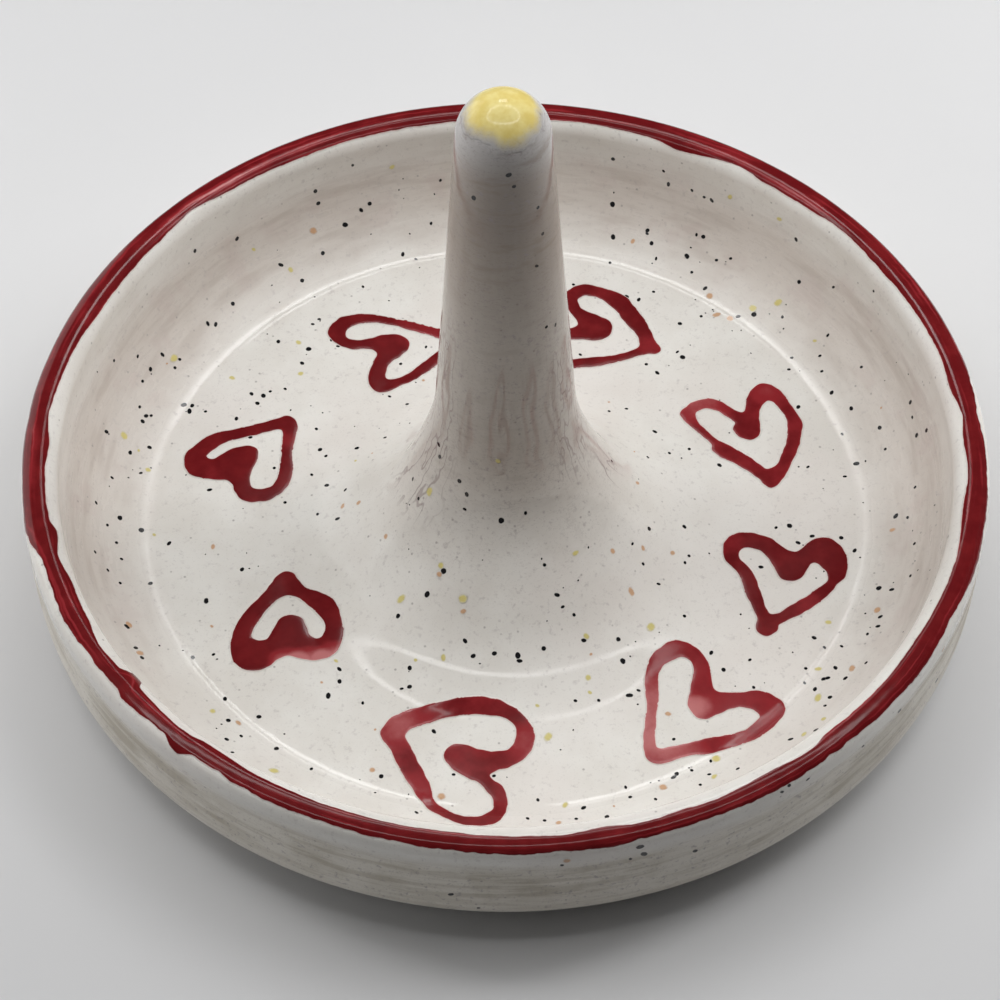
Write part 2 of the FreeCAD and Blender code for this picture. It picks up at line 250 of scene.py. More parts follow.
def clay_finish():
    material, wire, place = new_finish("bisque clay")
    patches = place.noise(1 / (9 * mm), 3.0)
    grain = place.noise(1 / (0.35 * mm), 3.0, 0.7)
    color = patches.mix((0.62, 0.52, 0.41, 1), (0.74, 0.66, 0.56, 1))
    color = grain.rise(0.62, 0.8).mix(color, (0.45, 0.36, 0.27, 1))
    bump = wire.node("ShaderNodeBump", {"Height": grain, "Strength": 0.25, "Distance": 0.1 * mm})
    rough = 0.78 + grain * 0.15
    end_finish(wire, {"Base Color": color, "Roughness": rough, "Normal": bump})
    return material


def bowl_section():
    floor = bowl_low.z + foot_height + bowl_floor
    lip = (bowl_radius - bowl_lip, bowl_high.z - bowl_lip)
    inner = bowl_radius - 2 * bowl_lip
    edge = (bowl_radius - bowl_edge, foot_height + bowl_edge)
    cove = (inner - bowl_cove, floor + bowl_cove)
    rounding = foot_rounding
    section = run((0, foot_height), (foot_inner_radius - rounding, foot_height), 8)
    section += arc((foot_inner_radius - rounding, foot_height - rounding), rounding, 90, 0, 3)
    section += arc((foot_inner_radius + rounding, rounding), rounding, 180, 270, 4)
    section += arc((foot_outer_radius - rounding, rounding), rounding, -90, 0, 4)
    section += arc((foot_outer_radius + rounding, foot_height - rounding), rounding, 180, 90, 3)
    section += arc(edge, bowl_edge, -90, 0, 16)
    section += arc(lip, bowl_lip, 0, 180, 12)
    section += arc(cove, bowl_cove, 0, -90, 16)
    return section + [(0, floor)]


wheel = wheel_tree()
clay = clay_finish()
bowl = turned("clay_bowl", bowl_section(), clay)
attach(bowl, "root")
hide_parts("dish_body")

# Slip: a skin of runny clay that holds the post to the floor of the bowl.
# It is sealed under the glaze, so it stays as it is and only takes the clay's finish.
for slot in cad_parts["luting_slip"].material_slots:
    slot.material = clay

# Glaze: one coat of warm white glaze over the post, the inside, the lip and the outer wall.
# It was brushed on in rounds, crawled into folds on the post's flare and stops short of the foot ring.
coat_thickness = 0.5 * mm
coat_depth = 0.7 * mm
coat_ripple = 0.12 * mm
post_lean = -0.35 * mm
foot_shift = (0.8 * mm, -4.5 * mm, 0.0)
tip_radius = 6.3 * mm
post_taper = 4.1
flare_width = 24.5 * mm
flare_center_height = 35.6 * mm
flare_share = 0.996
flare_spacing = 1.6
flare_steps = 34
coat_cove = bowl_cove - coat_thickness
coat_edge = bowl_edge + coat_thickness
coat_stop = -65
wall_top = 63.6 * mm
lip_start = 65.4 * mm
lip_square = 3.0
coat_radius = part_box("outside_glaze")[1].x
lip_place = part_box("inside_glaze")[1].x
lip_radius = coat_radius - lip_place
lip_center = (lip_place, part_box("outside_glaze")[1].z - lip_radius)
floor_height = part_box("inside_glaze")[0].z + coat_thickness
toe_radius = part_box("ring_post")[1].x
tip_center = (0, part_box("post_glaze")[1].z - tip_radius)
cove_center = (lip_place - lip_radius - coat_cove, floor_height + coat_cove)
edge_center = (coat_radius - coat_edge, foot_height - coat_thickness + coat_edge)
flare_top = toe_radius - flare_width * flare_share


def flare_height(radius):
    """The height of the post's flared foot, or of the floor outside it."""
    offset = min(max((toe_radius - radius) / flare_width, 0), 1)
    return flare_center_height - (flare_center_height - floor_height) * sqrt(1 - offset**2)


def flare_radius(share):
    """A radius on the flare at a share of the way from its top to its toe. The steps grow outwards."""
    return flare_top + (toe_radius - flare_top) * share**flare_spacing


def lip_spot(angle):
    """A place on the lip's section, which is round on the inside and nearly square on the outside."""
    across, up = cos(radians(angle)), sin(radians(angle))
    reach = lip_radius
    if angle < 90:
        reach /= (abs(across) ** lip_square + abs(up) ** lip_square) ** (1 / lip_square)
    return lip_center[0] + reach * across, lip_center[1] + reach * up


def coat_section():
    """The coat's skin from the tip down and over the lip, then a plainer line back inside the clay."""
    shaft_top = arc(tip_center, tip_radius, post_taper, post_taper, 1)[0]
    flare = [flare_radius(step / flare_steps) for step in range(flare_steps + 1)]
    skin = arc(tip_center, tip_radius, 90, post_taper, 16)
    skin += run(shaft_top, (flare_top, flare_height(flare_top)), 14)[1:-1]
    skin += [(radius, flare_height(radius)) for radius in flare]
    skin += run((toe_radius, floor_height), (cove_center[0], floor_height), 14)[1:]
    skin += arc(cove_center, coat_cove, -90, 0, 24)[1:]
    skin += [lip_spot(180 - 6 * step) for step in range(31)]
    skin += run((coat_radius, lip_center[1]), (coat_radius, edge_center[1]), 5)[1:-1]
    skin += arc(edge_center, coat_edge, 0, coat_stop, 12)
    depth = coat_depth
    back = arc(edge_center, coat_edge - depth, coat_stop, 0, 6)
    back += arc(lip_center, lip_radius - depth, 0, 180, 8)
    back += arc(cove_center, coat_cove + depth, 0, -90, 8)
    back += [(radius - depth, flare_height(radius) - depth) for radius in reversed(flare[::2])]
    back += arc(tip_center, tip_radius - depth, post_taper, 90, 6)
    return skin + back


def glaze_paint(wire, place):
    """The glaze's colour over the whole dish, the height of its small dips, and its roughness."""
    parts = wire.node("ShaderNodeSeparateXYZ", {0: place})
    x, y, height = parts, parts.out("Y"), parts.out("Z")
    radius = (x * x + y * y).math("SQRT")
    turn = wire.node("ShaderNodeCombineXYZ", {"X": x / (radius + 1 * mm), "Y": y / (radius + 1 * mm)})
    rounds = wire.node("ShaderNodeVectorMath", {0: turn.along(3.2, 3.2, 0), 1: place.along(0, 0, 430)})
    runs = wire.node("ShaderNodeVectorMath", {0: turn.along(9, 9, 0), 1: place.along(0, 0, 110)})
    inner_wall = radius.rise(50 * mm, 63 * mm) * (1 - radius.rise(wall_top, lip_start))
    outer_wall = radius.rise(68.6 * mm, 69.4 * mm) * (1 - height.rise(17.5 * mm, 20.5 * mm))
    post = height.rise(5.5 * mm, 32 * mm) * (1 - radius.rise(25 * mm, 34 * mm))
    mottle = place.noise(1 / (11 * mm), 4.0, 0.6)
    tint = place.noise(1 / (28 * mm), 2.0)
    streaks = rounds.noise(1.6, 3.0, 0.6)
    drips = runs.noise(1.0, 3.0, 0.6)
    smudge = place.noise(1 / (0.9 * mm), 3.0, 0.6)
    grain = place.noise(1 / (0.3 * mm), 2.0, 0.6)
    color = mottle.rise(0.3, 0.7).mix((0.765, 0.735, 0.685, 1), (0.835, 0.815, 0.77, 1))
    color = (tint.rise(0.45, 0.7) * 0.4).mix(color, (0.79, 0.73, 0.69, 1))
    # The inner wall is laid a darker tan with streaks and blushes, fading out towards the front: partly the
    # glaze's streaky tone, partly painted shade on the back wall.
    near = (0 - y).rise(8 * mm, 48 * mm) * 0.75
    inner_wall = inner_wall * (1 - near)
    color = (inner_wall * 0.7).mix(color, (0.6, 0.525, 0.465, 1))
    color = (inner_wall * streaks.rise(0.45, 0.7) * 0.42).mix(color, (0.45, 0.38, 0.33, 1))
    blush = place.noise(1 / (6 * mm), 3.0, 0.6)
    color = (inner_wall * blush.rise(0.52, 0.66) * 0.25).mix(color, (0.55, 0.44, 0.41, 1))
    stained = streaks.rise(0.42, 0.62) * 0.5 + mottle.rise(0.42, 0.6) * 0.4
    stained = stained * (0.55 + height.rise(9 * mm, 13 * mm) * 0.45)
    color = (outer_wall * 0.35).mix(color, (0.84, 0.77, 0.64, 1))
    color = (outer_wall * stained).mix(color, (0.48, 0.425, 0.335, 1))
    # Painted shade: the post is darkened all round, more towards the top, for the shade on its front, which
    # faces away from the lamps; just under the tip it turns a lighter, cooler grey.
    shade = 0.64 + drips * 0.12 + height.rise(42 * mm, 85 * mm) * 0.38
    color = (post * shade).mix(color, (0.36, 0.31, 0.27, 1))
    color = (post * height.rise(80 * mm, 87 * mm) * 0.6).mix(color, (0.6, 0.6, 0.61, 1))
    smudged = smudge.rise(0.56, 0.75) * (0.28 + outer_wall * 0.45 + post * 0.5)
    color = smudged.mix(color, (0.36, 0.315, 0.31, 1))
    color = (grain.rise(0.58, 0.75) * (0.16 + outer_wall * 0.3 + post * 0.3)).mix(color, (0.3, 0.26, 0.24, 1))
    cells = wire.node("ShaderNodeTexVoronoi", {"Vector": place, "Scale": 1 / (2.2 * mm)})
    pick = wire.node("ShaderNodeSeparateColor", {0: cells.out("Color")})
    dots = (1 - cells.out("Distance").rise(0.04, 0.12)) * pick.rise(0.42, 0.44)
    # Painted shade: a thin dark line where the lip's rounding meets the inner wall.
    crease_shade = 1 - (radius - wall_top).math("ABSOLUTE").rise(0.1 * mm, 0.35 * mm)
    crease_shade = crease_shade * height.rise(15 * mm, 17 * mm)
    color = (crease_shade * tint.rise(0.3, 0.6) * 0.35).mix(color, (0.42, 0.37, 0.34, 1))
    color = (dots * 0.55).mix(color, (0.22, 0.19, 0.18, 1))
    smears = place.along(0.45, 0.45, 1.6).noise(1 / (3 * mm), 4.0, 0.65)
    smeared = post * smears.rise(0.5, 0.7) * (0.2 + height.rise(58 * mm, 72 * mm) * 0.35)
    color = smeared.mix(color, (0.27, 0.22, 0.18, 1))
    scratch = (smears - 0.47).math("ABSOLUTE")
    color = (post * (1 - scratch.rise(0.002, 0.01)) * 0.3).mix(color, (0.2, 0.17, 0.17, 1))
    fold = (runs.noise(0.8, 1.0) + place.noise(1 / (2.6 * mm), 1.0) * 0.45 - 0.725).math("ABSOLUTE")
    sides = (x / (radius + 1 * mm)).math("ABSOLUTE").rise(0.5, 0.78)
    crawled = height.rise(13 * mm, 18 * mm) * (1 - height.rise(44 * mm, 58 * mm)) * sides
    crawled = crawled * place.noise(1 / (14 * mm), 1.0).rise(0.36, 0.5) * (1 - radius.rise(15 * mm, 19 * mm))
    folds = (1 - fold.rise(0.012, 0.036)) * crawled
    color = (folds * 0.5).mix(color, (0.2, 0.14, 0.14, 1))
    dips = place.noise(1 / (5 * mm), 2.0) + streaks * inner_wall * 0.4
    dips = dips + smudge * outer_wall * 0.6 + folds * 0.4
    satin = radius.rise(52.8 * mm, 55 * mm) * (1 - radius.rise(64 * mm, lip_start))
    used = (1 - radius.rise(48 * mm, 54 * mm)) * (1 - y.rise(0, 30 * mm))
    worn = place.noise(1 / (15 * mm), 3.0, 0.6).rise(0.46, 0.66) * used
    rough = 0.05 + outer_wall * 0.38 + satin * (0.12 + streaks * 0.2 + near * 0.3)
    rough = rough + smudge * 0.04 + worn * 0.09
    return color, dips, rough


def glazed_finish(name, painted=None, level=None):
    """The glaze, with the look of a colour on top where a function paints one over it."""
    material, wire, place = new_finish(name)
    color, dips, rough = glaze_paint(wire, place)
    if painted:
        color, rough = painted(wire, place, color, rough)
    dents = {"Height": dips, "Strength": 0.25, "Distance": 0.12 * mm}
    if level:
        dents["Normal"] = wire.node("ShaderNodeAttribute", output="Vector", attribute_name=level)
    bump = wire.node("ShaderNodeBump", dents)
    end_finish(wire, {"Base Color": color, "Roughness": rough, "Normal": bump})
    return material


glaze = glazed_finish("white glaze")
coat = turned("glaze_coat", coat_section(), glaze, coat_ripple, post_lean, foot_shift)
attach(coat, "root")
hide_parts("inside_glaze", "post_glaze", "outside_glaze")

# Post: turned from the same clay as the bowl and stuck to its floor by hand, a little off the middle.
# The coat seals it all round, so its section follows the coat's at the coat's thickness below it.
post_steps = 20


def post_section():
    """The clay under the coat on the post, from the tip down to the floor of the bowl."""
    depth = coat_thickness
    section = arc(tip_center, tip_radius - depth, 90, post_taper, 8)
    for step in range(post_steps + 1):
        radius = flare_radius(step / post_steps)
        section.append((radius - depth, flare_height(radius) - depth * step / post_steps))
    return section + [(0, floor_height - depth)]


post = turned("clay_post", post_section(), clay, 0.0, post_lean, foot_shift)
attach(post, "root")
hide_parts("ring_post")

# Rim stripe: dark red colour brushed over the lip in one round, with a ragged edge and one drip.
# Each place is a direction round the dish and the stripe's inner and outer edge on the lip, in degrees.
stripe_edges = [
    (-270, 132, 47), (-260, 132, 46), (-250, 131, 45), (-240, 134, 42), (-230, 130, 45), (-223, 115, 43),
    (-216, 128, 41), (-210, 131, 40), (-202, 132, 41), (-194, 118, 40), (-188, 113, 26), (-184, 106, 40),
    (-179, 124, 28), (-175, 115, 38), (-170, 113, 34), (-167, 116, 24), (-165, 136, 36), (-161, 114, 66),
    (-156.6, 131, 62), (-152, 125, 54), (-146, 105, 64), (-142.4, 112, 66), (-140.4, 176, 62),
    (-138.4, 118, 57), (-132, 106, 64), (-129.2, 108, 40), (-127, 120, 60), (-118, 107, 53),
    (-110, 101, 50), (-100, 97, 46), (-88, 90, 38), (-84, 85, 43), (-79, 96, 34), (-75, 83, 43),
    (-70, 90, 43), (-66, 85, 42), (-59, 95, 37), (-53, 86, 43), (-50, 102, 44), (-40, 101, 40),
    (-34, 106, 39), (-27, 104, 50), (-20, 103, 34), (-11, 117, 42), (-6, 107, 46), (0, 116, 50),
    (3.6, 106, 60), (8.6, 124, 48), (14, 116, 42), (20, 119, 36), (26, 122, 34), (30, 126, 36),
    (38, 120, 40), (46, 132, 43), (52, 133, 45), (56, 120, 46), (65, 145, 47), (70, 130, 47),
    (78, 125, 46), (90, 132, 47),
]
stripe_steps = 1080
stripe_lift = 0.05 * mm
stripe_depth = 0.12 * mm
stripe_ragged = 2.5
stripe_fringe = 3.5
stripe_streaks = 0.9
stripe_start = stripe_edges[0][0]
stripe_bare = 0.86
# Painted highlights: each listed spot, given as a direction, a share across, a reach in degrees and a
# strength, makes the red paler where the lip catches the light, laid in as thin paint.
stripe_painted_highlights = [(-230, 0.3, 18, 0.8), (48, 0.5, 10, 0.7), (60, 0.3, 8, 0.6), (-178, 0.0, 12, 0.35)]
stripe_across = [share / 10 for share in range(-10, 11)]
paint_weld = 0.001 * mm
coat_tree = BVHTree.FromPolygons(
    [vertex.co for vertex in coat.data.vertices], [polygon.vertices for polygon in coat.data.polygons]
)


def skinned(place, swell):
    """A place near the glaze, moved onto its skin and then out or in by a swell."""
    spot, normal = coat_tree.find_nearest(Vector(place))[:2]
    return spot + normal * swell


def eased(share):
    return share * share * (3 - 2 * share)


def placed(angle, radius, height):
    """A place from its direction in degrees, its distance from the middle and its height."""
    return Vector((radius * cos(radians(angle)), radius * sin(radians(angle)), height))


def edge_at(edges, angle, column):
    """An edge at a direction round the dish, eased between the listed places on either side of it."""
    for before, after in zip(edges, edges[1:]):
        if before[0] <= angle <= after[0]:
            share = eased((angle - before[0]) / (after[0] - before[0]))
            edge = before[column] + (after[column] - before[column]) * share
    return edge


def mark(mesh, name, values):
    """Gives every point of a mesh a number that finishes and trees read by its name."""
    mesh.attributes.new(name, "FLOAT", "POINT").data.foreach_set("value", values)


def stripe_edge(angle, column):
    """The stripe's edge at a direction round the dish, with the small unevenness of the brush."""
    place = placed(angle, 1, column)
    rough = noise.noise(place * 28) + 0.6 * noise.noise(place * 75)
    return edge_at(stripe_edges, angle, column) + stripe_ragged * rough * column


def woven(name, rows, around_rows):
    """A closed skin over rows of points. Every row is a loop, and the rows can close into a loop too."""
    wide = len(rows[0])
    faces = []
    for row in range(len(rows) if around_rows else len(rows) - 1):
        after = (row + 1) % len(rows)
        for step in range(wide):
            beside = (step + 1) % wide
            faces.append((row * wide + step, row * wide + beside, after * wide + beside, after * wide + step))
    mesh = bpy.data.meshes.new(name)
    mesh.from_pydata([place for row in rows for place in row], [], faces)
    return mesh


def finished(name, mesh, finish, node, slot):
    """A piece of brushed colour from its mesh, in place of the node that it stands for."""
    shape = bmesh.new()
    shape.from_mesh(mesh)
    bmesh.ops.remove_doubles(shape, verts=shape.verts, dist=paint_weld)
    bmesh.ops.recalc_face_normals(shape, faces=shape.faces)
    shape.to_mesh(mesh)
    shape.free()
    mesh.polygons.foreach_set("use_smooth", [True] * len(mesh.polygons))
    mesh.materials.append(finish)
    piece = bpy.data.objects.new(name, mesh)
    bpy.context.scene.collection.objects.link(piece)
    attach(piece, "root")
    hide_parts(node)


def red_paint(wire, place, under, rough):
    thin = wire.node("ShaderNodeAttribute", output="Fac", attribute_name="thin")
    bare = wire.node("ShaderNodeAttribute", output="Fac", attribute_name="bare")
    wash = place.noise(1 / (3.5 * mm), 3.0, 0.6)
    fine = place.noise(1 / (0.45 * mm), 3.0, 0.7)
    color = wash.rise(0.35, 0.7).mix((0.135, 0.0075, 0.0095, 1), (0.178, 0.0115, 0.0135, 1))
    pale = thin + (wash - 0.5) * 0.5 + fine.rise(0.58, 0.85) * 0.1
    color = pale.rise(0.05, 0.55).mix(color, (0.28, 0.022, 0.027, 1))
    color = pale.rise(0.5, 1.1).mix(color, (0.52, 0.17, 0.17, 1))
    bled = 0.35 * (1 - bare.rise(0.3, 0.95))
    bared = (bare + (fine - 0.5) * 0.2).rise(0.18, 0.4)
    return bared.mix(color, bled.mix(under, (0.75, 0.42, 0.42, 1))), rough * 0.8 + 0.06


def stripe_rows():
    rows = []
    for step in range(stripe_steps):
        angle = stripe_start + 360 * step / stripe_steps
        inner, outer = stripe_edge(angle, 1) + stripe_fringe, stripe_edge(angle, 2) - stripe_fringe
        middle, half = (inner + outer) / 2, (inner - outer) / 2
        swells = [(share, stripe_lift * (1.05 - share**4)) for share in stripe_across]
        swells += [(share, -stripe_depth) for share in reversed(stripe_across)]
        row = []
        for share, swell in swells:
            radius, height = lip_spot(middle + half * share)
            row.append(skinned(placed(angle, radius, height), swell))
        rows.append(row)
    return rows


def stripe_wear(angle, share):
    """How pale the stripe is at a direction round the dish and a share across it: streaks where the brush ran
    thin, and the listed painted highlights.
    """
    place = placed(angle, 5, share * 5)
    worn = stripe_streaks * max(0, noise.noise(place) - 0.05)
    for middle, across, reach, strength in stripe_painted_highlights:
        worn += strength * max(0, 1 - abs(angle - middle) / reach) * max(0, 1 - abs(share - across) / 0.5)
    return worn


red = glazed_finish("brushed red", red_paint)
stripe_mesh = woven("rim_stripe", stripe_rows(), True)
bare_marks = [max(0, abs(share) - stripe_bare) / (1 - stripe_bare) for share in stripe_across]
wear_marks = []
for step in range(stripe_steps):
    wear = [stripe_wear(stripe_start + 360 * step / stripe_steps, share) for share in stripe_across]
    wear_marks += wear + wear[::-1]
# The 'thin' mark on the stripe holds both the streaks where the brush ran thin and the painted highlights.
mark(stripe_mesh, "thin", wear_marks)
mark(stripe_mesh, "bare", (bare_marks + bare_marks[::-1]) * stripe_steps)
finished("rim_stripe", stripe_mesh, red, "rim_band", "red_color")

# Tip: pale yellow colour dabbed over the end of the post, thin and uneven towards its edge.
# Each place is a direction round the post and how far down from the top the colour reaches, in degrees.
tip_edges = [
    (-180, 60), (-150, 63), (-128, 58), (-110, 60), (-92, 69), (-70, 67), (-55, 65), (-40, 60),
    (-15, 57), (30, 55), (90, 56), (140, 57), (180, 60),
]
tip_start = tip_edges[0][0]
tip_steps = 96
tip_rings = 22
tip_lift = 0.05 * mm
tip_depth = 0.15 * mm
tip_ragged = 3
tip_under = (1, 0.6, 0)


def tip_edge(angle):
    return edge_at(tip_edges, angle, 1) + tip_ragged * noise.noise(placed(angle, 1, 0) * 6)


def tip_rows():
    rings = [(ring / tip_rings, tip_lift * (1.03 - (ring / tip_rings) ** 6)) for ring in range(tip_rings + 1)]
    rings += [(share, -tip_depth) for share in tip_under]
    rows = []
    for share, swell in rings:
        row = []
        for step in range(tip_steps):
            angle = tip_start + 360 * step / tip_steps
            down = radians(tip_edge(angle) * share)
            radius = tip_radius * sin(down)
            height = tip_center[1] + tip_radius * cos(down)
            place = (radius * cos(radians(angle)) + post_lean, radius * sin(radians(angle)), height)
            row.append(skinned(place, swell))
        rows.append(row)
    return rows


def yellow_paint(wire, place, under, rough):
    edge = wire.node("ShaderNodeAttribute", output="Fac", attribute_name="edge")
    wash = place.noise(1 / (2.5 * mm), 3.0, 0.6)
    color = wash.rise(0.35, 0.7).mix((0.73, 0.58, 0.18, 1), (0.82, 0.7, 0.29, 1))
    bare = (edge + (wash - 0.5) * 0.35).rise(0.62, 0.98)
    return bare.mix(color, under), rough


yellow = glazed_finish("brushed yellow", yellow_paint)
tip_mesh = woven("tip_color", tip_rows(), False)
tip_layers = tip_rings + 1 + len(tip_under)
edge_marks = [min(row / tip_rings, 1) for row in range(tip_layers) for step in range(tip_steps)]
mark(tip_mesh, "edge", edge_marks)
finished("tip_color", tip_mesh, yellow, "yellow_tip", "yellow_color")

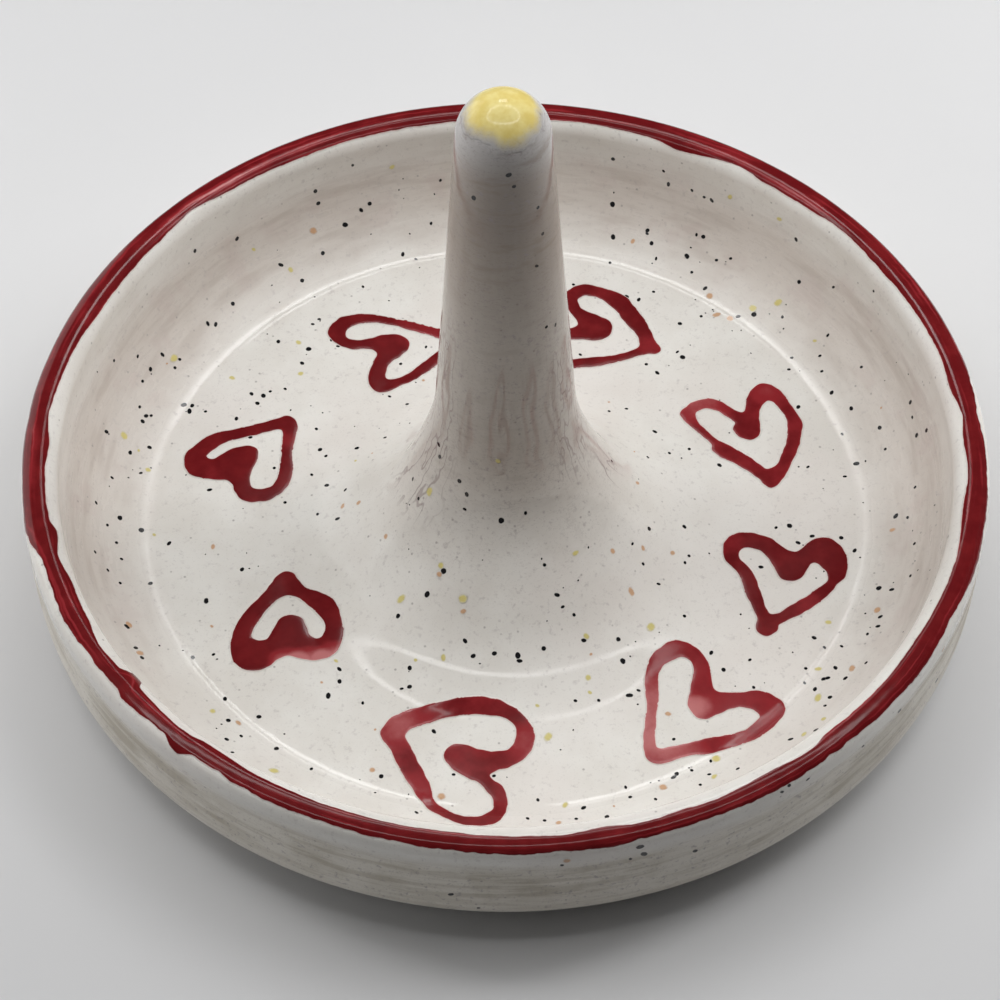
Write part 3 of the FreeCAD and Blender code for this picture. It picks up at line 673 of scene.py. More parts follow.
# Hearts: eight outlines in the same dark red, brushed by hand on the floor, almost flush with the glaze.
# Each has its place in shares of the dish's radius, and its outer and inner outlines in shares of
# a heart's size, and then the spots where the brush ran thin: a place, a reach and how thin it is.
heart_size = 20 * mm
heart_lift = 0.045 * mm
heart_depth = 0.12 * mm
heart_soft_edge = 0.45 * mm
heart_bare_edge = 0.31 * mm
heart_fringe = 0.35 * mm
heart_wobble = 0.14 * mm
heart_grid = 0.026
heart_rows = 26
heart_columns = 28
heart_steps = 6
heart_weld = 0.0001
heart_shares = {
    "heart_back_left": (
        (-0.267, 0.45),
        [(-0.40, 0.30), (-0.33, 0.35), (-0.17, 0.375), (0.0, 0.345), (0.2, 0.285), (0.4, 0.22),
         (0.6, 0.16), (0.67, 0.12), (0.62, 0.05), (0.5, -0.05), (0.4, -0.14), (0.3, -0.24),
         (0.2, -0.32), (0.12, -0.36), (0.04, -0.41), (-0.04, -0.42), (-0.1, -0.36), (-0.12, -0.27),
         (-0.1, -0.17), (-0.06, -0.05), (-0.09, 0.01), (-0.16, 0.025), (-0.26, 0.018),
         (-0.34, 0.05), (-0.42, 0.12), (-0.45, 0.19), (-0.43, 0.26)],
        [(-0.3, 0.23), (-0.22, 0.28), (-0.08, 0.295), (0.05, 0.27), (0.18, 0.22), (0.3, 0.18),
         (0.42, 0.13), (0.52, 0.09), (0.46, 0.03), (0.4, -0.03), (0.33, -0.1), (0.25, -0.18),
         (0.18, -0.25), (0.1, -0.29), (0.03, -0.305), (0.0, -0.26), (0.01, -0.19), (0.05, -0.11),
         (0.12, -0.05), (0.175, 0.02), (0.175, 0.09), (0.12, 0.145), (0.05, 0.165), (-0.04, 0.15),
         (-0.12, 0.12), (-0.22, 0.1), (-0.29, 0.115), (-0.325, 0.16)],
    ),
    "heart_back_right": (
        (0.214, 0.522),
        [(-0.26, 0.35), (-0.2, 0.41), (-0.11, 0.44), (0.0, 0.41), (0.12, 0.36), (0.2, 0.31),
         (0.27, 0.2), (0.34, 0.07), (0.39, -0.05), (0.42, -0.15), (0.46, -0.24), (0.43, -0.285),
         (0.36, -0.28), (0.25, -0.32), (0.14, -0.36), (0.0, -0.4), (-0.12, -0.42), (-0.24, -0.43),
         (-0.36, -0.42), (-0.45, -0.34), (-0.46, -0.2), (-0.4, -0.08), (-0.3, -0.03),
         (-0.22, -0.025), (-0.175, 0.01), (-0.175, 0.06), (-0.21, 0.12), (-0.25, 0.2), (-0.27, 0.28)],
        [(-0.18, 0.27), (-0.16, 0.31), (-0.1, 0.33), (0.0, 0.3), (0.06, 0.25), (0.13, 0.17),
         (0.18, 0.08), (0.23, 0.0), (0.28, -0.07), (0.31, -0.15), (0.3, -0.22), (0.24, -0.26),
         (0.13, -0.3), (0.0, -0.325), (-0.12, -0.335), (-0.24, -0.35), (-0.32, -0.33), (-0.36, -0.26),
         (-0.34, -0.18), (-0.26, -0.14), (-0.14, -0.135), (-0.05, -0.145), (0.02, -0.13),
         (0.07, -0.08), (0.09, -0.01), (0.07, 0.05), (0.0, 0.1), (-0.08, 0.14), (-0.15, 0.19)],
    ),
    "heart_right_back": (
        (0.521, 0.207),
        [(-0.48, 0.2), (-0.44, 0.26), (-0.37, 0.32), (-0.25, 0.355), (-0.16, 0.32), (-0.08, 0.25),
         (-0.01, 0.22), (0.025, 0.25), (0.04, 0.33), (0.07, 0.42), (0.12, 0.485), (0.18, 0.505),
         (0.25, 0.48), (0.31, 0.42), (0.36, 0.31), (0.42, 0.19), (0.445, 0.1), (0.425, -0.01),
         (0.4, -0.12), (0.36, -0.23), (0.31, -0.34), (0.26, -0.43), (0.22, -0.49), (0.17, -0.515),
         (0.13, -0.48), (0.08, -0.42), (0.02, -0.36), (-0.08, -0.28), (-0.18, -0.22), (-0.24, -0.16),
         (-0.25, -0.1), (-0.3, -0.03), (-0.38, 0.06), (-0.44, 0.13)],
        [(-0.37, 0.21), (-0.33, 0.25), (-0.26, 0.265), (-0.19, 0.24), (-0.12, 0.18), (-0.06, 0.12),
         (-0.08, 0.05), (-0.04, -0.01), (0.02, -0.04), (0.07, -0.04), (0.11, 0.0), (0.12, 0.09),
         (0.12, 0.2), (0.14, 0.28), (0.19, 0.34), (0.24, 0.33), (0.29, 0.26), (0.33, 0.18),
         (0.34, 0.08), (0.33, -0.05), (0.29, -0.17), (0.25, -0.28), (0.2, -0.33), (0.15, -0.34),
         (0.1, -0.3), (0.03, -0.23), (-0.06, -0.16), (-0.14, -0.1), (-0.22, -0.05), (-0.3, 0.05),
         (-0.35, 0.12)],
    ),
    "heart_right": (
        (0.589, -0.193),
        [(-0.45, 0.27), (-0.43, 0.36), (-0.38, 0.42), (-0.29, 0.455), (-0.18, 0.43), (-0.09, 0.39),
         (-0.02, 0.325), (0.04, 0.28), (0.1, 0.28), (0.16, 0.33), (0.22, 0.385), (0.3, 0.405),
         (0.38, 0.37), (0.44, 0.28), (0.45, 0.15), (0.43, 0.06), (0.37, -0.01), (0.31, -0.09),
         (0.22, -0.18), (0.1, -0.27), (0.0, -0.33), (-0.08, -0.38), (-0.11, -0.44), (-0.17, -0.48),
         (-0.23, -0.45), (-0.24, -0.39), (-0.23, -0.32), (-0.26, -0.22), (-0.3, -0.1), (-0.33, 0.04),
         (-0.38, 0.13), (-0.43, 0.19)],
        [(-0.33, 0.29), (-0.28, 0.325), (-0.19, 0.3), (-0.13, 0.24), (-0.09, 0.17), (-0.06, 0.08),
         (-0.02, 0.03), (0.05, 0.015), (0.11, 0.05), (0.15, 0.11), (0.18, 0.17), (0.23, 0.18),
         (0.29, 0.12), (0.31, 0.06), (0.3, 0.0), (0.23, -0.06), (0.12, -0.15), (0.0, -0.23),
         (-0.08, -0.29), (-0.14, -0.29), (-0.17, -0.24), (-0.19, -0.15), (-0.22, -0.02), (-0.25, 0.08),
         (-0.3, 0.16), (-0.34, 0.22)],
    ),
    "heart_front_right": (
        (0.421, -0.493),
        [(-0.47, 0.2), (-0.43, 0.35), (-0.36, 0.44), (-0.27, 0.505), (-0.18, 0.5), (-0.09, 0.44),
         (-0.03, 0.34), (-0.01, 0.22), (0.0, 0.12), (0.04, 0.075), (0.12, 0.065), (0.22, 0.07),
         (0.33, 0.085), (0.43, 0.04), (0.495, -0.03), (0.49, -0.12), (0.43, -0.2), (0.34, -0.29),
         (0.22, -0.35), (0.08, -0.4), (-0.05, -0.44), (-0.18, -0.45), (-0.29, -0.49), (-0.38, -0.525),
         (-0.45, -0.51), (-0.49, -0.45), (-0.5, -0.34), (-0.485, -0.2), (-0.465, -0.05), (-0.47, 0.08)],
        [(-0.39, 0.2), (-0.36, 0.29), (-0.29, 0.35), (-0.2, 0.385), (-0.14, 0.35), (-0.12, 0.27),
         (-0.14, 0.15), (-0.17, 0.02), (-0.165, -0.07), (-0.12, -0.13), (-0.06, -0.145), (0.02, -0.11),
         (0.12, -0.06), (0.2, -0.045), (0.28, -0.07), (0.33, -0.13), (0.28, -0.2), (0.2, -0.26),
         (0.08, -0.295), (-0.05, -0.32), (-0.18, -0.36), (-0.3, -0.39), (-0.38, -0.405), (-0.42, -0.38),
         (-0.43, -0.28), (-0.41, -0.12), (-0.39, 0.05)],
    ),
    "heart_front": (
        (-0.093, -0.636),
        [(-0.55, 0.24), (-0.5, 0.33), (-0.4, 0.4), (-0.25, 0.455), (-0.1, 0.49), (0.05, 0.515),
         (0.2, 0.51), (0.32, 0.47), (0.42, 0.4), (0.49, 0.31), (0.525, 0.2), (0.5, 0.09), (0.43, 0.0),
         (0.35, -0.05), (0.26, -0.08), (0.21, -0.12), (0.24, -0.17), (0.3, -0.22), (0.33, -0.32),
         (0.32, -0.42), (0.28, -0.5), (0.2, -0.545), (0.1, -0.55), (0.0, -0.53), (-0.08, -0.48),
         (-0.18, -0.42), (-0.24, -0.35), (-0.31, -0.24), (-0.37, -0.14), (-0.43, -0.02), (-0.48, 0.1),
         (-0.53, 0.17)],
        [(-0.38, 0.23), (-0.32, 0.28), (-0.2, 0.33), (-0.08, 0.37), (0.05, 0.39), (0.2, 0.385),
         (0.32, 0.36), (0.39, 0.3), (0.41, 0.22), (0.39, 0.14), (0.34, 0.085), (0.25, 0.07),
         (0.15, 0.085), (0.06, 0.12), (0.0, 0.13), (-0.07, 0.11), (-0.1, 0.05), (-0.08, -0.02),
         (-0.02, -0.08), (0.06, -0.135), (0.13, -0.17), (0.19, -0.24), (0.24, -0.31), (0.24, -0.4),
         (0.17, -0.46), (0.08, -0.475), (-0.02, -0.45), (-0.12, -0.39), (-0.18, -0.32), (-0.2, -0.22),
         (-0.24, -0.13), (-0.29, -0.02), (-0.34, 0.1), (-0.38, 0.17)],
    ),
    "heart_left_front": (
        (-0.453, -0.293),
        [(-0.02, 0.44), (-0.08, 0.41), (-0.14, 0.31), (-0.2, 0.21), (-0.29, 0.1), (-0.35, -0.02),
         (-0.38, -0.12), (-0.39, -0.23), (-0.36, -0.35), (-0.29, -0.42), (-0.2, -0.43), (-0.12, -0.4),
         (-0.05, -0.33), (0.02, -0.3), (0.1, -0.32), (0.2, -0.34), (0.32, -0.31), (0.39, -0.22),
         (0.405, -0.1), (0.38, 0.05), (0.32, 0.17), (0.22, 0.24), (0.12, 0.29), (0.07, 0.35),
         (0.03, 0.42)],
        [(0.0, 0.235), (-0.07, 0.21), (-0.14, 0.13), (-0.2, 0.03), (-0.25, -0.08), (-0.25, -0.15),
         (-0.19, -0.18), (-0.13, -0.16), (-0.09, -0.08), (-0.05, 0.01), (0.03, 0.05), (0.1, 0.02),
         (0.14, -0.05), (0.17, -0.13), (0.22, -0.16), (0.27, -0.13), (0.285, -0.04), (0.24, 0.05),
         (0.16, 0.14), (0.08, 0.21)],
    ),
    "heart_left": (
        (-0.572, 0.142),
        [(0.33, 0.405), (0.26, 0.38), (0.15, 0.34), (0.02, 0.295), (-0.12, 0.26), (-0.25, 0.215),
         (-0.33, 0.14), (-0.4, 0.06), (-0.425, -0.03), (-0.39, -0.14), (-0.32, -0.18), (-0.2, -0.205),
         (-0.11, -0.21), (-0.05, -0.25), (-0.02, -0.33), (0.03, -0.4), (0.12, -0.42), (0.22, -0.405),
         (0.32, -0.33), (0.38, -0.22), (0.39, -0.1), (0.38, 0.05), (0.395, 0.2), (0.41, 0.3),
         (0.39, 0.37)],
        [(0.28, 0.28), (0.2, 0.265), (0.1, 0.23), (-0.02, 0.195), (-0.14, 0.15), (-0.22, 0.08),
         (-0.27, 0.02), (-0.24, -0.015), (-0.19, -0.01), (-0.13, 0.04), (-0.05, 0.09), (0.04, 0.11),
         (0.11, 0.08), (0.12, 0.0), (0.09, -0.1), (0.07, -0.2), (0.09, -0.28), (0.14, -0.31),
         (0.21, -0.3), (0.27, -0.25), (0.3, -0.15), (0.31, 0.0), (0.31, 0.15), (0.31, 0.25)],
    ),
}
heart_wash = {
    "heart_back_left": 0.05, "heart_back_right": 0.1, "heart_right_back": 0.25, "heart_right": 0.05,
    "heart_front_right": 0.4, "heart_front": 0.25, "heart_left_front": 0.0, "heart_left": 0.0,
}
heart_thin = {
    "heart_front_right": [(-0.45, -0.1, 0.4, 0.5), (-0.3, -0.46, 0.28, 0.4), (-0.1, -0.05, 0.12, 0.6)],
    "heart_front": [(-0.45, 0.32, 0.28, 0.5), (0.48, 0.15, 0.2, 0.4), (-0.3, -0.25, 0.2, 0.3)],
    "heart_left_front": [(0.02, -0.36, 0.16, 0.9), (0.18, -0.4, 0.2, 1.0), (0.36, -0.32, 0.17, 0.9)],
    "heart_right_back": [(-0.32, 0.3, 0.25, 0.5), (0.2, 0.42, 0.15, 0.3)],
    "heart_right": [(-0.4, 0.35, 0.15, 0.3), (0.15, -0.22, 0.15, 0.3)],
    "heart_left": [(-0.2, -0.18, 0.12, 0.3), (0.35, 0.2, 0.15, 0.25)],
    "heart_back_left": [(0.3, 0.25, 0.3, 0.3)],
    "heart_back_right": [(0.4, -0.2, 0.15, 0.3)],
}


def on_coat(x, y):
    """Where a line straight down at a place of the plan meets the glaze, and the glaze's normal there."""
    return coat_tree.ray_cast(Vector((x, y, cad_box[1][2] + 10 * mm)), Vector((0, 0, -1)))[:2]


def smooth_loop(corners, steps):
    """A closed curve through its corners."""
    places = []
    for index in range(len(corners)):
        a, b, c, d = (Vector(corners[(index + shift) % len(corners)]) for shift in (-1, 0, 1, 2))
        for step in range(steps):
            t = step / steps
            bend = (2 * a - 5 * b + 4 * c - d) * t**2 + (3 * b - a - 3 * c + d) * t**3
            places.append(b + ((c - a) * t + bend) / 2)
    return places


def spread(loop, distance):
    """A loop moved out by a distance, or in where the distance is negative."""
    area = sum(a.cross(b) for a, b in zip(loop, loop[1:] + loop[:1]))
    moved = []
    for index, place in enumerate(loop):
        along = (loop[(index + 1) % len(loop)] - loop[index - 1]).normalized()
        out = Vector((along.y, -along.x)) if area > 0 else Vector((-along.y, along.x))
        wobble = heart_wobble * noise.noise(Vector((place.x, place.y, len(loop))) * 16)
        moved.append(place + out * (distance + wobble) / heart_size)
    return moved


def encloses(loop, place):
    inside = False
    for a, b in zip(loop, loop[1:] + loop[:1]):
        if (a.y > place.y) != (b.y > place.y):
            if place.x < a.x + (b.x - a.x) * (place.y - a.y) / (b.y - a.y):
                inside = not inside
    return inside


def heart_mesh(name):
    """A brushed outline as a thin closed skin on the glaze, with marks for its edge and thin spots."""
    center, outer, inner = heart_shares[name]
    strokes = [smooth_loop(outer, heart_steps), smooth_loop(inner, heart_steps)]
    loops = [spread(strokes[0], heart_fringe), spread(strokes[1], -heart_fringe)]
    solid = heart_fringe - heart_bare_edge
    rim = loops[0] + loops[1]
    first = len(loops[0])
    edges = [(step, (step + 1) % first) for step in range(first)]
    edges += [(first + step, first + (step + 1) % len(loops[1])) for step in range(len(loops[1]))]
    near = KDTree(len(rim))
    for index, place in enumerate(rim):
        near.insert((place.x, place.y, 0), index)
    near.balance()

    def painted(place):
        return encloses(loops[0], place) and not encloses(loops[1], place)

    fill = spread(strokes[0], solid) + spread(strokes[1], -solid)
    for row in range(-heart_rows, heart_rows + 1):
        for step in range(-heart_columns, heart_columns + 1):
            place = Vector(((step + row % 2 / 2) * heart_grid, row * heart_grid * 0.866))
            if painted(place) and near.find((place.x, place.y, 0))[2] > heart_grid * 0.5:
                fill.append(place)
    net = delaunay_2d_cdt(rim + fill, edges, [], 0, heart_weld)
    corners = net[0]
    faces = []
    for face in net[2]:
        if painted(sum((corners[index] for index in face), Vector((0, 0))) / 3):
            faces.append(face)
    top, under, thin, bare = [], [], [], []
    for corner in corners:
        spot, normal = on_coat(center[0] * coat_radius + corner.x * heart_size,
                               center[1] * coat_radius + corner.y * heart_size)
        inward = near.find((corner.x, corner.y, 0))[2] * heart_size
        top.append(spot + normal * heart_lift * (0.15 + 0.85 * eased(min(inward / heart_soft_edge, 1))))
        under.append(spot - normal * heart_depth)
        worn = heart_wash[name] + 0.25 * max(0, 1 - inward / heart_soft_edge)
        bare.append(max(0, 1 - inward / heart_bare_edge))
        for x, y, reach, strength in heart_thin[name]:
            worn += strength * max(0, 1 - (hypot(corner.x - x, corner.y - y) / reach) ** 2)
        thin.append(worn)
    count = len(corners)
    sides = {}
    for face in faces:
        for a, b in zip(face, face[1:] + face[:1]):
            sides[(a, b)] = (b, a, a + count, b + count)
    skin = [sides[side] for side in sides if (side[1], side[0]) not in sides]
    skin += faces + [[index + count for index in reversed(face)] for face in faces]
    mesh = bpy.data.meshes.new(name)
    mesh.from_pydata(top + under, [], skin)
    mark(mesh, "thin", thin + thin)
    mark(mesh, "bare", bare + bare)
    return mesh


for name in heart_shares:
    finished("brushed_" + name, heart_mesh(name), red, name, "red_color")

# Flecks: crumbs of black, yellow and orange glaze, strewn in the white and melted flat into it.
# For each size in millimetres the plainest were read off the photo under ruled lines: degrees round
# the dish, millimetres from the middle and, on a steep face, the height. Chance strews the fainter ones.
fleck_places = {
    "black_flecks": {
        0.48: [
            (115, 60.6), (134, 44.2), (73.6, 61.3), (72.3, 57.2), (59.8, 57.8), (44.5, 55), (47.4, 40.9),
            (157.7, 53.4), (158.5, 52.1), (149.2, 43.4), (-177.3, 57.3), (-175.6, 54.2), (9.2, 53.8),
            (-4.2, 42.4), (-158.8, 46.8), (-156.8, 59.2), (-126.9, 42), (-59.2, 32.8), (-62.3, 37.9),
            (-15.8, 56.6), (-116.5, 19.9), (-119.3, 23), (-86.5, 28.6), (-92.6, 13.7), (-2.6, 58),
        ],
        0.39: [
            (118, 64.2), (118, 63.4), (112, 61.6), (110.5, 62), (131.5, 63.7), (138.5, 64.5), (127, 59.2),
            (125.3, 55.8), (120, 58.2), (137.3, 58.3), (142.8, 58.4), (141.9, 57.6), (136.8, 48.7),
            (107.6, 54.2), (137.6, 42.8), (74.5, 64.6), (66, 64.1), (59.2, 64.1), (67.3, 59.3), (66, 57.8),
            (58.7, 60.9), (54.3, 54.5), (65.7, 47), (63.3, 47.2), (53.4, 46.2), (46.3, 53.2), (41.8, 61.9),
            (45, 64.4), (48.7, 35.8), (152.2, 59.9), (155.5, 60), (157.2, 52.2), (162.8, 57.4), (164, 57.5),
            (169.2, 61.2), (170.3, 57.5), (168, 55.2), (-172.7, 50.2), (175.2, 44.6), (160.2, 41.3),
            (150, 45.2), (151.5, 43.4), (156.8, 44.8), (157.8, 30.4), (171.5, 27.1), (-172.6, 25.1),
            (-163.9, 40.3), (154, 25), (32.4, 27), (14.7, 33.5), (23.9, 49.3), (24, 55.1), (19.6, 56.3),
            (14, 63), (8.1, 63.5), (8.8, 62.4), (13.9, 58.6), (-6.3, 45.8), (-8.2, 43.8), (-6.1, 50.1),
            (-8.5, 52.2), (-16, 39.1), (-10.2, 26.9), (-20, 22.4), (-165, 53.8), (-152.8, 59.4),
            (-150.9, 59.3), (-149, 52.4), (-139.4, 52.5), (-135.8, 54.6), (-133.2, 51), (-133, 57.3),
            (-127, 53.4), (-122.8, 58.5), (-110.2, 50.2), (-127.3, 39.1), (-129.4, 37.5), (-115, 32.4),
            (-113, 35), (-125.4, 26.7), (-57.2, 29.9), (-55.7, 37.6), (-41.5, 39.5), (-43, 42.7),
            (-27.8, 50.4), (-34.4, 55), (-34, 55.4), (-31.8, 55.5), (-33.3, 57.8), (-36.7, 54.9),
            (-37.3, 57.7), (-23.1, 58.3), (-21.3, 58.1), (-16.3, 58.5), (-46.6, 58), (-43.8, 60),
            (-63, 52.5), (-63.7, 52.8), (-117, 12.2), (-124.5, 11.6), (-147, 11.2), (-152, 10.8),
            (-70.8, 22.4), (-66.7, 28.3), (-78.8, 28.1), (-86.1, 29.3), (-93.2, 28.3), (-99.2, 28.8),
            (-102.3, 27.1), (-104.3, 40.9), (-78.4, 53.5), (-75.6, 56),
        ],
        0.29: [
            (112, 64.7), (105.7, 52.8), (127.6, 48), (129.3, 47.8), (129, 43.3), (128.9, 41.6), (116.7, 50.3),
            (99.5, 62.9), (101.8, 58.2), (111, 34.5), (67, 64.6), (62.4, 64.2), (60.4, 64.1), (67.2, 58.9),
            (64.3, 55.8), (71.4, 52.8), (59.8, 60.8), (55.2, 59), (53.3, 60), (57.8, 55.9), (61.7, 49.8),
            (76.5, 46.7), (51.3, 49.5), (40.5, 57.3), (36.5, 63.5), (29.7, 64.8), (32.6, 59.6), (33.7, 53.7),
            (69, 32.8), (49.2, 41.2), (52.5, 36.1), (155.5, 62), (159.3, 63.6), (150.8, 57.8), (152.5, 57.6),
            (158, 60), (157.5, 49.8), (162, 58.7), (162.3, 56.8), (176, 59), (173.3, 55.3), (-178.4, 60.6),
            (-172.5, 57.8), (-175.3, 59), (-169.6, 57.3), (-169.6, 60.9), (167.2, 35.8), (147.5, 43),
            (145.2, 41.4), (151.6, 32.8), (159.6, 29), (167.4, 29.9), (174.8, 24), (-177, 28), (177.7, 33),
            (146.3, 21.9), (127, 25), (129, 28.3), (119.5, 33), (66, 25.8), (45.8, 26.7), (48.5, 24),
            (22, 26.8), (20, 22.8), (22.3, 30.2), (32, 52), (30.9, 57), (28.4, 55.8), (24.6, 60.3),
            (11.8, 62.6), (15.7, 53.4), (9.9, 58.3), (10.1, 46.5), (7, 51.6), (1, 60.9), (-3.6, 59.6),
            (-4.9, 40.4), (-8.8, 60.6), (-15, 64.9), (-18.5, 38.4), (-31.8, 21.7), (-34.3, 24.2), (-20, 28.7),
            (-23, 28.6), (-35.4, 27.3), (-165, 58.1), (-167, 59.5), (-147.8, 49.6), (-132.3, 55.2),
            (-130.5, 58.6), (-120.5, 53.4), (-118.5, 59), (-117, 58), (-120.2, 40.3), (-114.5, 35.7),
            (-59.9, 37.8), (-38, 44.5), (-37.7, 32.8), (-28.8, 52.4), (-27.6, 54.6), (-33.9, 51.8),
            (-36.4, 53), (-39, 58), (-30.1, 59.3), (-24.6, 57.3), (-14.5, 60.7), (-42.3, 47.8), (-60, 47.3),
            (-57.3, 53.1), (-55.3, 56.7), (-59, 55), (-60.7, 53), (-71.2, 51.7), (-71.2, 53.5), (-61.2, 56),
            (-161, 14.2), (-148, 14.8), (-116, 13.3), (-77.5, 13.2), (-72.7, 18.7), (-105, 22.2), (-70, 23.9),
            (-67, 25.1), (2, 15.6), (-98.8, 47.4), (-92, 47.1), (-69, 36.9), (-74, 36), (-79.9, 55.3),
            (-86.8, 54.3), (-84.4, 54.9), (-85, 51.2), (-103, 54.7), (-68, 55.3),
        ],
    },
    "yellow_flecks": {
        0.8: [
            (151.3, 58.5), (45.4, 55.7), (42.7, 58.5), (-124.4, 57), (-127.5, 24.7), (-143.4, 13.6),
            (-105.8, 22.4), (-47.1, 30.8), (-81.6, 41), (-38, 56.2), (-56.4, 53.2), (168, 59),
        ],
        0.55: [
            (126, 58), (106.3, 64.3), (134.3, 46.3), (56.6, 64.6), (48.4, 64.7), (172.3, 54.4), (148.6, 49.6),
            (139.9, 41.5), (-138.5, 55.3), (-58.7, 55.8), (-23.9, 51.2), (-33, 53.4), (-41.5, 59.5),
            (-45, 59), (-118.5, 19.4), (-57.4, 18.6), (-65.5, 27.9), (-107.4, 29.7), (-69.2, 33.2),
            (-81, 52.5),
        ],
    },
    "orange_flecks": {
        0.7: [
            (120, 61.2), (52.8, 53.7), (49.4, 51.3), (47.1, 52.1), (-157.2, 58.8), (-151.8, 59.2),
            (-45, 25.7), (-66, 53.7), (-20, 57.3), (-31.3, 57.8), (-100, 51.2),
        ],
        0.5: [
            (69, 57.3), (-177.5, 24.2), (-176, 21.8), (-170.8, 43.8), (-5, 57.5), (-134.5, 53.8),
            (-112, 49.7), (-57.9, 43.3), (-150, 20.1), (-117.8, 20.4), (-104.7, 23.8), (-41.6, 20.7),
            (-29.4, 23), (-22.4, 26.5), (0, 19.5), (-82.5, 55.6),
        ],
    },
}
upright_flecks = {
    "black_flecks": {
        0.55: [(-75.5, 70, 21), (-75, 70, 19)],
        0.42: [
            (-30.5, 70, 12.5), (-69, 70, 16), (-40, 70, 19), (-96, 70, 12), (-127, 7, 78), (-87, 6.8, 83),
        ],
        0.3: [
            (-84, 70, 19.5), (-76.5, 70, 18.5), (-58.5, 70, 21.5), (-57.5, 70, 22), (-55, 70, 21),
            (-46.5, 70, 19), (-93, 70, 8.5), (-81, 7, 81), (-52, 7.2, 76), (-47, 7.6, 71), (-57, 8, 66),
            (-49, 8.8, 54), (-37, 8.9, 53),
        ],
    },
    "yellow_flecks": {0.5: [(-96, 10.5, 30)]},
    "orange_flecks": {0.6: [(-83.5, 70, 20.5), (-30.5, 70, 20)]},
}
fleck_thickness = 0.025 * mm
fleck_reach = 64.3 * mm
# Each kind: its colour, how well it covers, where its soft edge starts, and the count, the smallest and
# the largest size and the seed of those that chance strews.
fleck_kinds = {
    "black_flecks": ((0.012, 0.012, 0.013, 1), 1.0, 0.8, 150, 0.1, 0.18, 5),
    "yellow_flecks": ((0.56, 0.48, 0.13, 1), 0.85, 0.45, 14, 0.25, 0.4, 6),
    "orange_flecks": ((0.5, 0.26, 0.11, 1), 0.8, 0.5, 16, 0.2, 0.35, 7),
}


def fleck_tree():
    sockets = {"Places": "Geometry", "Surface": "Object", "Seed": "Int", "Finish": "Material"}
    wire, given = new_tree("flecks", sockets, "Flecks")
    ground = wire.node("GeometryNodeObjectInfo", {"Object": given.out("Surface")}, "Geometry")
    place = wire.node("GeometryNodeInputPosition")
    normal = wire.node("GeometryNodeInputNormal")
    seed = given.out("Seed")

    def nearest(value):
        inputs = {"Mesh": ground, "Value": value}
        return wire.node("GeometryNodeSampleNearestSurface", inputs, data_type="FLOAT_VECTOR")

    def marked(shape, name, value, kind):
        inputs = {"Geometry": shape, "Name": name, "Value": value}
        return wire.node("GeometryNodeStoreNamedAttribute", inputs, data_type=kind)

    def chosen(low, high, seed):
        inputs = {2: low, 3: high, "Seed": seed}
        return wire.node("FunctionNodeRandomValue", inputs, "Value", data_type="FLOAT")

    spot, slope = nearest(place), nearest(normal)
    points = wire.node("GeometryNodeMeshToPoints", {"Mesh": given.out("Places")})
    points = marked(points, "facing", slope, "FLOAT_VECTOR")
    points = wire.node("GeometryNodeSetPosition", {"Geometry": points, "Position": spot})
    facing = wire.node("GeometryNodeInputNamedAttribute", {"Name": "facing"}, data_type="FLOAT_VECTOR")
    size = wire.node("GeometryNodeInputNamedAttribute", {"Name": "size"}, data_type="FLOAT")
    spin, long = chosen(0.0, 6.28, seed), chosen(0.8, 1.3, seed + 1)
    turn = wire.node("FunctionNodeEulerToRotation", {0: wire.node("ShaderNodeCombineXYZ", {"Z": spin})})
    turn = wire.node("FunctionNodeAlignRotationToVector", {"Rotation": turn, "Vector": facing}, axis="Z")
    scale = wire.node("ShaderNodeCombineXYZ", {"X": size * long, "Y": size / long, "Z": fleck_thickness})
    crumb = wire.node("GeometryNodeMeshUVSphere", {"Segments": 12, "Rings": 5, "Radius": 1.0})
    rim = wire.node("ShaderNodeVectorMath", {0: place.along(1, 1, 0)}, "Value", operation="LENGTH")
    crumb = marked(crumb, "rim", rim, "FLOAT")
    inputs = {"Points": points, "Instance": crumb, "Rotation": turn, "Scale": scale}
    strewn = wire.node("GeometryNodeInstanceOnPoints", inputs)
    return end_tree(wire, strewn, given.out("Finish"))


def fleck_finish(name, fleck, share, soft):
    def fleck_paint(wire, place, under, rough):
        rim = wire.node("ShaderNodeAttribute", output="Fac", attribute_name="rim")
        shade = place.noise(1 / (0.4 * mm), 2.0)
        solid = (1 - (rim + (shade - 0.5) * 0.5).rise(soft, 1.0)) * share
        lighter = tuple(channel * 1.3 for channel in fleck[:3]) + (1,)
        return solid.mix(under, shade.mix(fleck, lighter)), rough * 0.45

    return glazed_finish(name, fleck_paint, "facing")


def strewn_places(name, count, smallest, largest, seed):
    """The chosen places of one kind of fleck, and then fainter ones by chance."""
    spots = []
    for size, places in fleck_places[name].items():
        for turn, radius in places:
            place = placed(turn, radius * mm, 0)
            spots.append((on_coat(place.x, place.y)[0], size))
    for size, places in upright_flecks[name].items():
        for turn, radius, height in places:
            spots.append((skinned(placed(turn, radius * mm, height * mm), 0), size))
    chance = Random(seed)
    for index in range(count):
        turn = chance.uniform(0, 2 * pi)
        radius = fleck_reach * sqrt(chance.uniform(0.05, 1))
        spots.append((on_coat(radius * cos(turn), radius * sin(turn))[0], chance.uniform(smallest, largest)))
    return [spot for spot, size in spots], [size * mm for spot, size in spots]


fleck_scatter = fleck_tree()
for name, (color, share, soft, count, smallest, largest, seed) in fleck_kinds.items():
    places, sizes = strewn_places(name, count, smallest, largest, seed)
    start = points_mesh(name, places)
    mark(start, "size", sizes)
    finish = fleck_finish(name, color, share, soft)
    flecks = grown(name, start, fleck_scatter, Surface=coat, Seed=seed, Finish=finish)
    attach(flecks, "root")

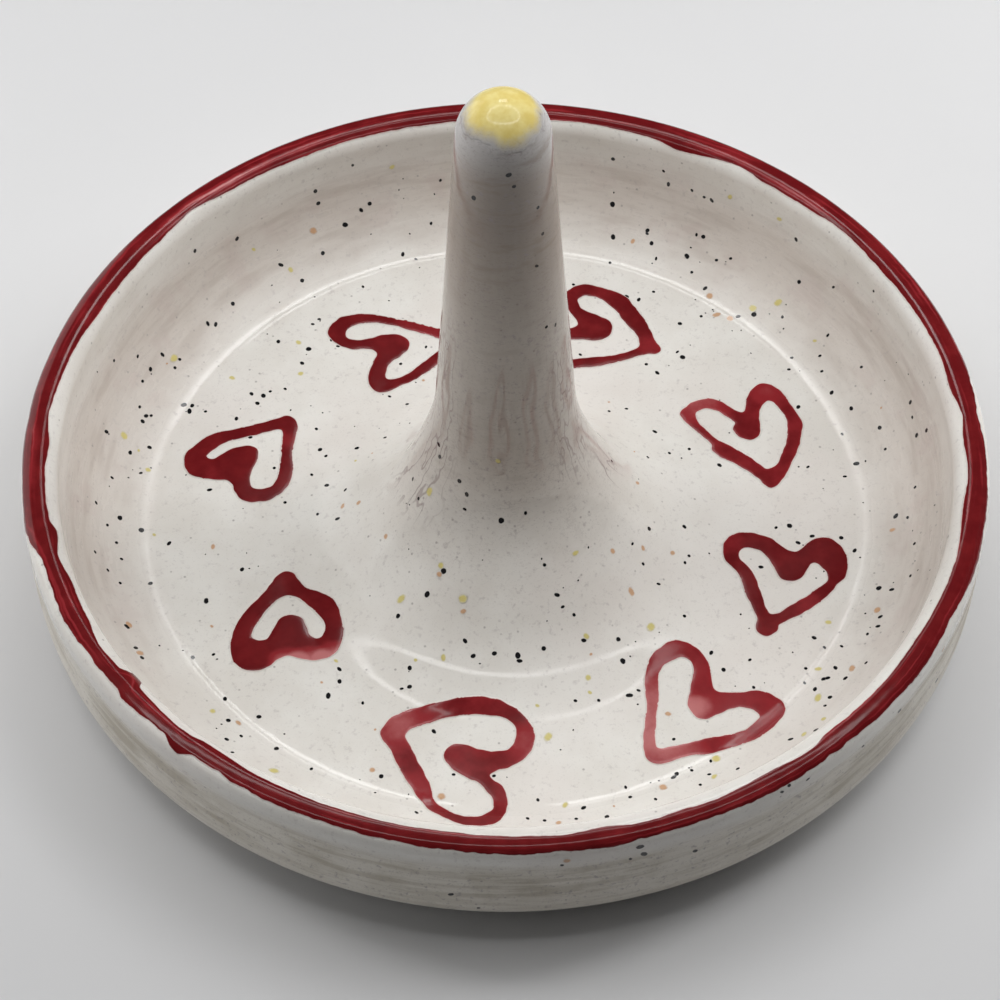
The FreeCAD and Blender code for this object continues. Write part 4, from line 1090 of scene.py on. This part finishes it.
# Table, light and camera: a pale sheet in a light tent that is open towards the camera.
# A ring of lamps hangs over the dish, the tent's top, sides and back throw some of its light back,
# and two short bars over the back show as highlights in the glaze.
table_reach = 0.6
ring_height = 350 * mm
ring_center = 30 * mm
ring_reach = (180 * mm, 118 * mm)
ring_width = 20 * mm
ring_lamps = 36
ring_power = 0.23
# Each lamp of the tent: its place, what it points at, its size, its power and whether gloss shows it.
tent_lamps = {
    "tent_top": ((0, 0.02, 0.36), (0, 0.02, 0), (0.4, 0.22), 0.25, False),
    "tent_top_back": ((0, 0.18, 0.36), (0, 0.1, 0), (0.4, 0.2), 0.21, False),
    "tent_top_left": ((-0.2, 0.05, 0.3), (0, 0, 0.02), (0.06, 0.3), 0.21, False),
    "tent_top_right": ((0.2, 0.05, 0.3), (0, 0, 0.02), (0.06, 0.3), 0.28, False),
    "tent_left": ((-0.34, 0.02, 0.14), (0, 0, 0.14), (0.5, 0.26), 0.46, False),
    "tent_right": ((0.34, 0.18, 0.17), (0, 0, 0.14), (0.5, 0.26), 0.4, False),
    "tent_back_left": ((-0.28, 0.2, 0.14), (0, 0, 0.1), (0.3, 0.26), 0.2, True),
    "tent_back_right": ((0.28, 0.2, 0.14), (0, 0, 0.1), (0.3, 0.26), 0.37, False),
    "tent_bar_back": ((0, 0.29, 0.35), (0, 0, 0), (0.09, 0.012), 0.016, True),
    "tent_bar_near": ((0, 0.24, 0.35), (0, 0, 0), (0.09, 0.028), 0.042, True),
}


def table_finish():
    material, wire, place = new_finish("table paper")
    tint = place.noise(1 / (60 * mm), 2.0)
    color = tint.mix((0.725, 0.725, 0.73, 1), (0.755, 0.755, 0.76, 1))
    end_finish(wire, {"Base Color": color, "Roughness": 0.6})
    return material


table_mesh = bpy.data.meshes.new("table")
table_corners = [(x * table_reach, y * table_reach, 0) for x, y in ((-1, -1), (1, -1), (1, 1), (-1, 1))]
table_mesh.from_pydata(table_corners, [], [(0, 1, 2, 3)])
table_mesh.materials.append(table_finish())
table = bpy.data.objects.new("table", table_mesh)
bpy.context.scene.collection.objects.link(table)


def lamp(name, place, aim, size, power):
    light = bpy.data.lights.new(name, "AREA")
    light.shape = "RECTANGLE"
    light.size, light.size_y = size
    light.energy = power
    holder = bpy.data.objects.new(name, light)
    holder.location = place
    holder.rotation_euler = (Vector(aim) - Vector(place)).to_track_quat("-Z", "Y").to_euler()
    bpy.context.scene.collection.objects.link(holder)
    return holder


for step in range(ring_lamps):
    turn = 2 * pi * step / ring_lamps
    place = Vector((ring_reach[0] * cos(turn), ring_center + ring_reach[1] * sin(turn), ring_height))
    along = Vector((-ring_reach[0] * sin(turn), ring_reach[1] * cos(turn), 0))
    size = (along.length * 2 * pi / ring_lamps, ring_width)
    power = ring_power * along.length / ring_lamps / (sum(ring_reach) / 2)
    holder = lamp(f"ring_lamp_{step}", place, place - Vector((0, 0, 1)), size, power)
    holder.rotation_euler = (0, 0, along.to_2d().angle_signed(Vector((1, 0))))
for name, (place, aim, size, power, shown) in tent_lamps.items():
    lamp(name, place, aim, size, power).visible_glossy = shown

world = bpy.data.worlds.new("room")
world.use_nodes = True
world.node_tree.nodes["Background"].inputs["Color"].default_value = (0.9, 0.9, 0.92, 1)
world.node_tree.nodes["Background"].inputs["Strength"].default_value = 0.01
bpy.context.scene.world = world

camera_data = bpy.data.cameras.new("camera")
camera_data.lens = 103.25
camera_data.sensor_width = 36
camera = bpy.data.objects.new("camera", camera_data)
camera.location = (-0.79 * mm, -263.5 * mm, 343.9 * mm)
camera.rotation_euler = (radians(38.12), 0, 0)
bpy.context.scene.collection.objects.link(camera)
bpy.context.scene.camera = camera
bpy.context.scene.view_settings.view_transform = "Standard"
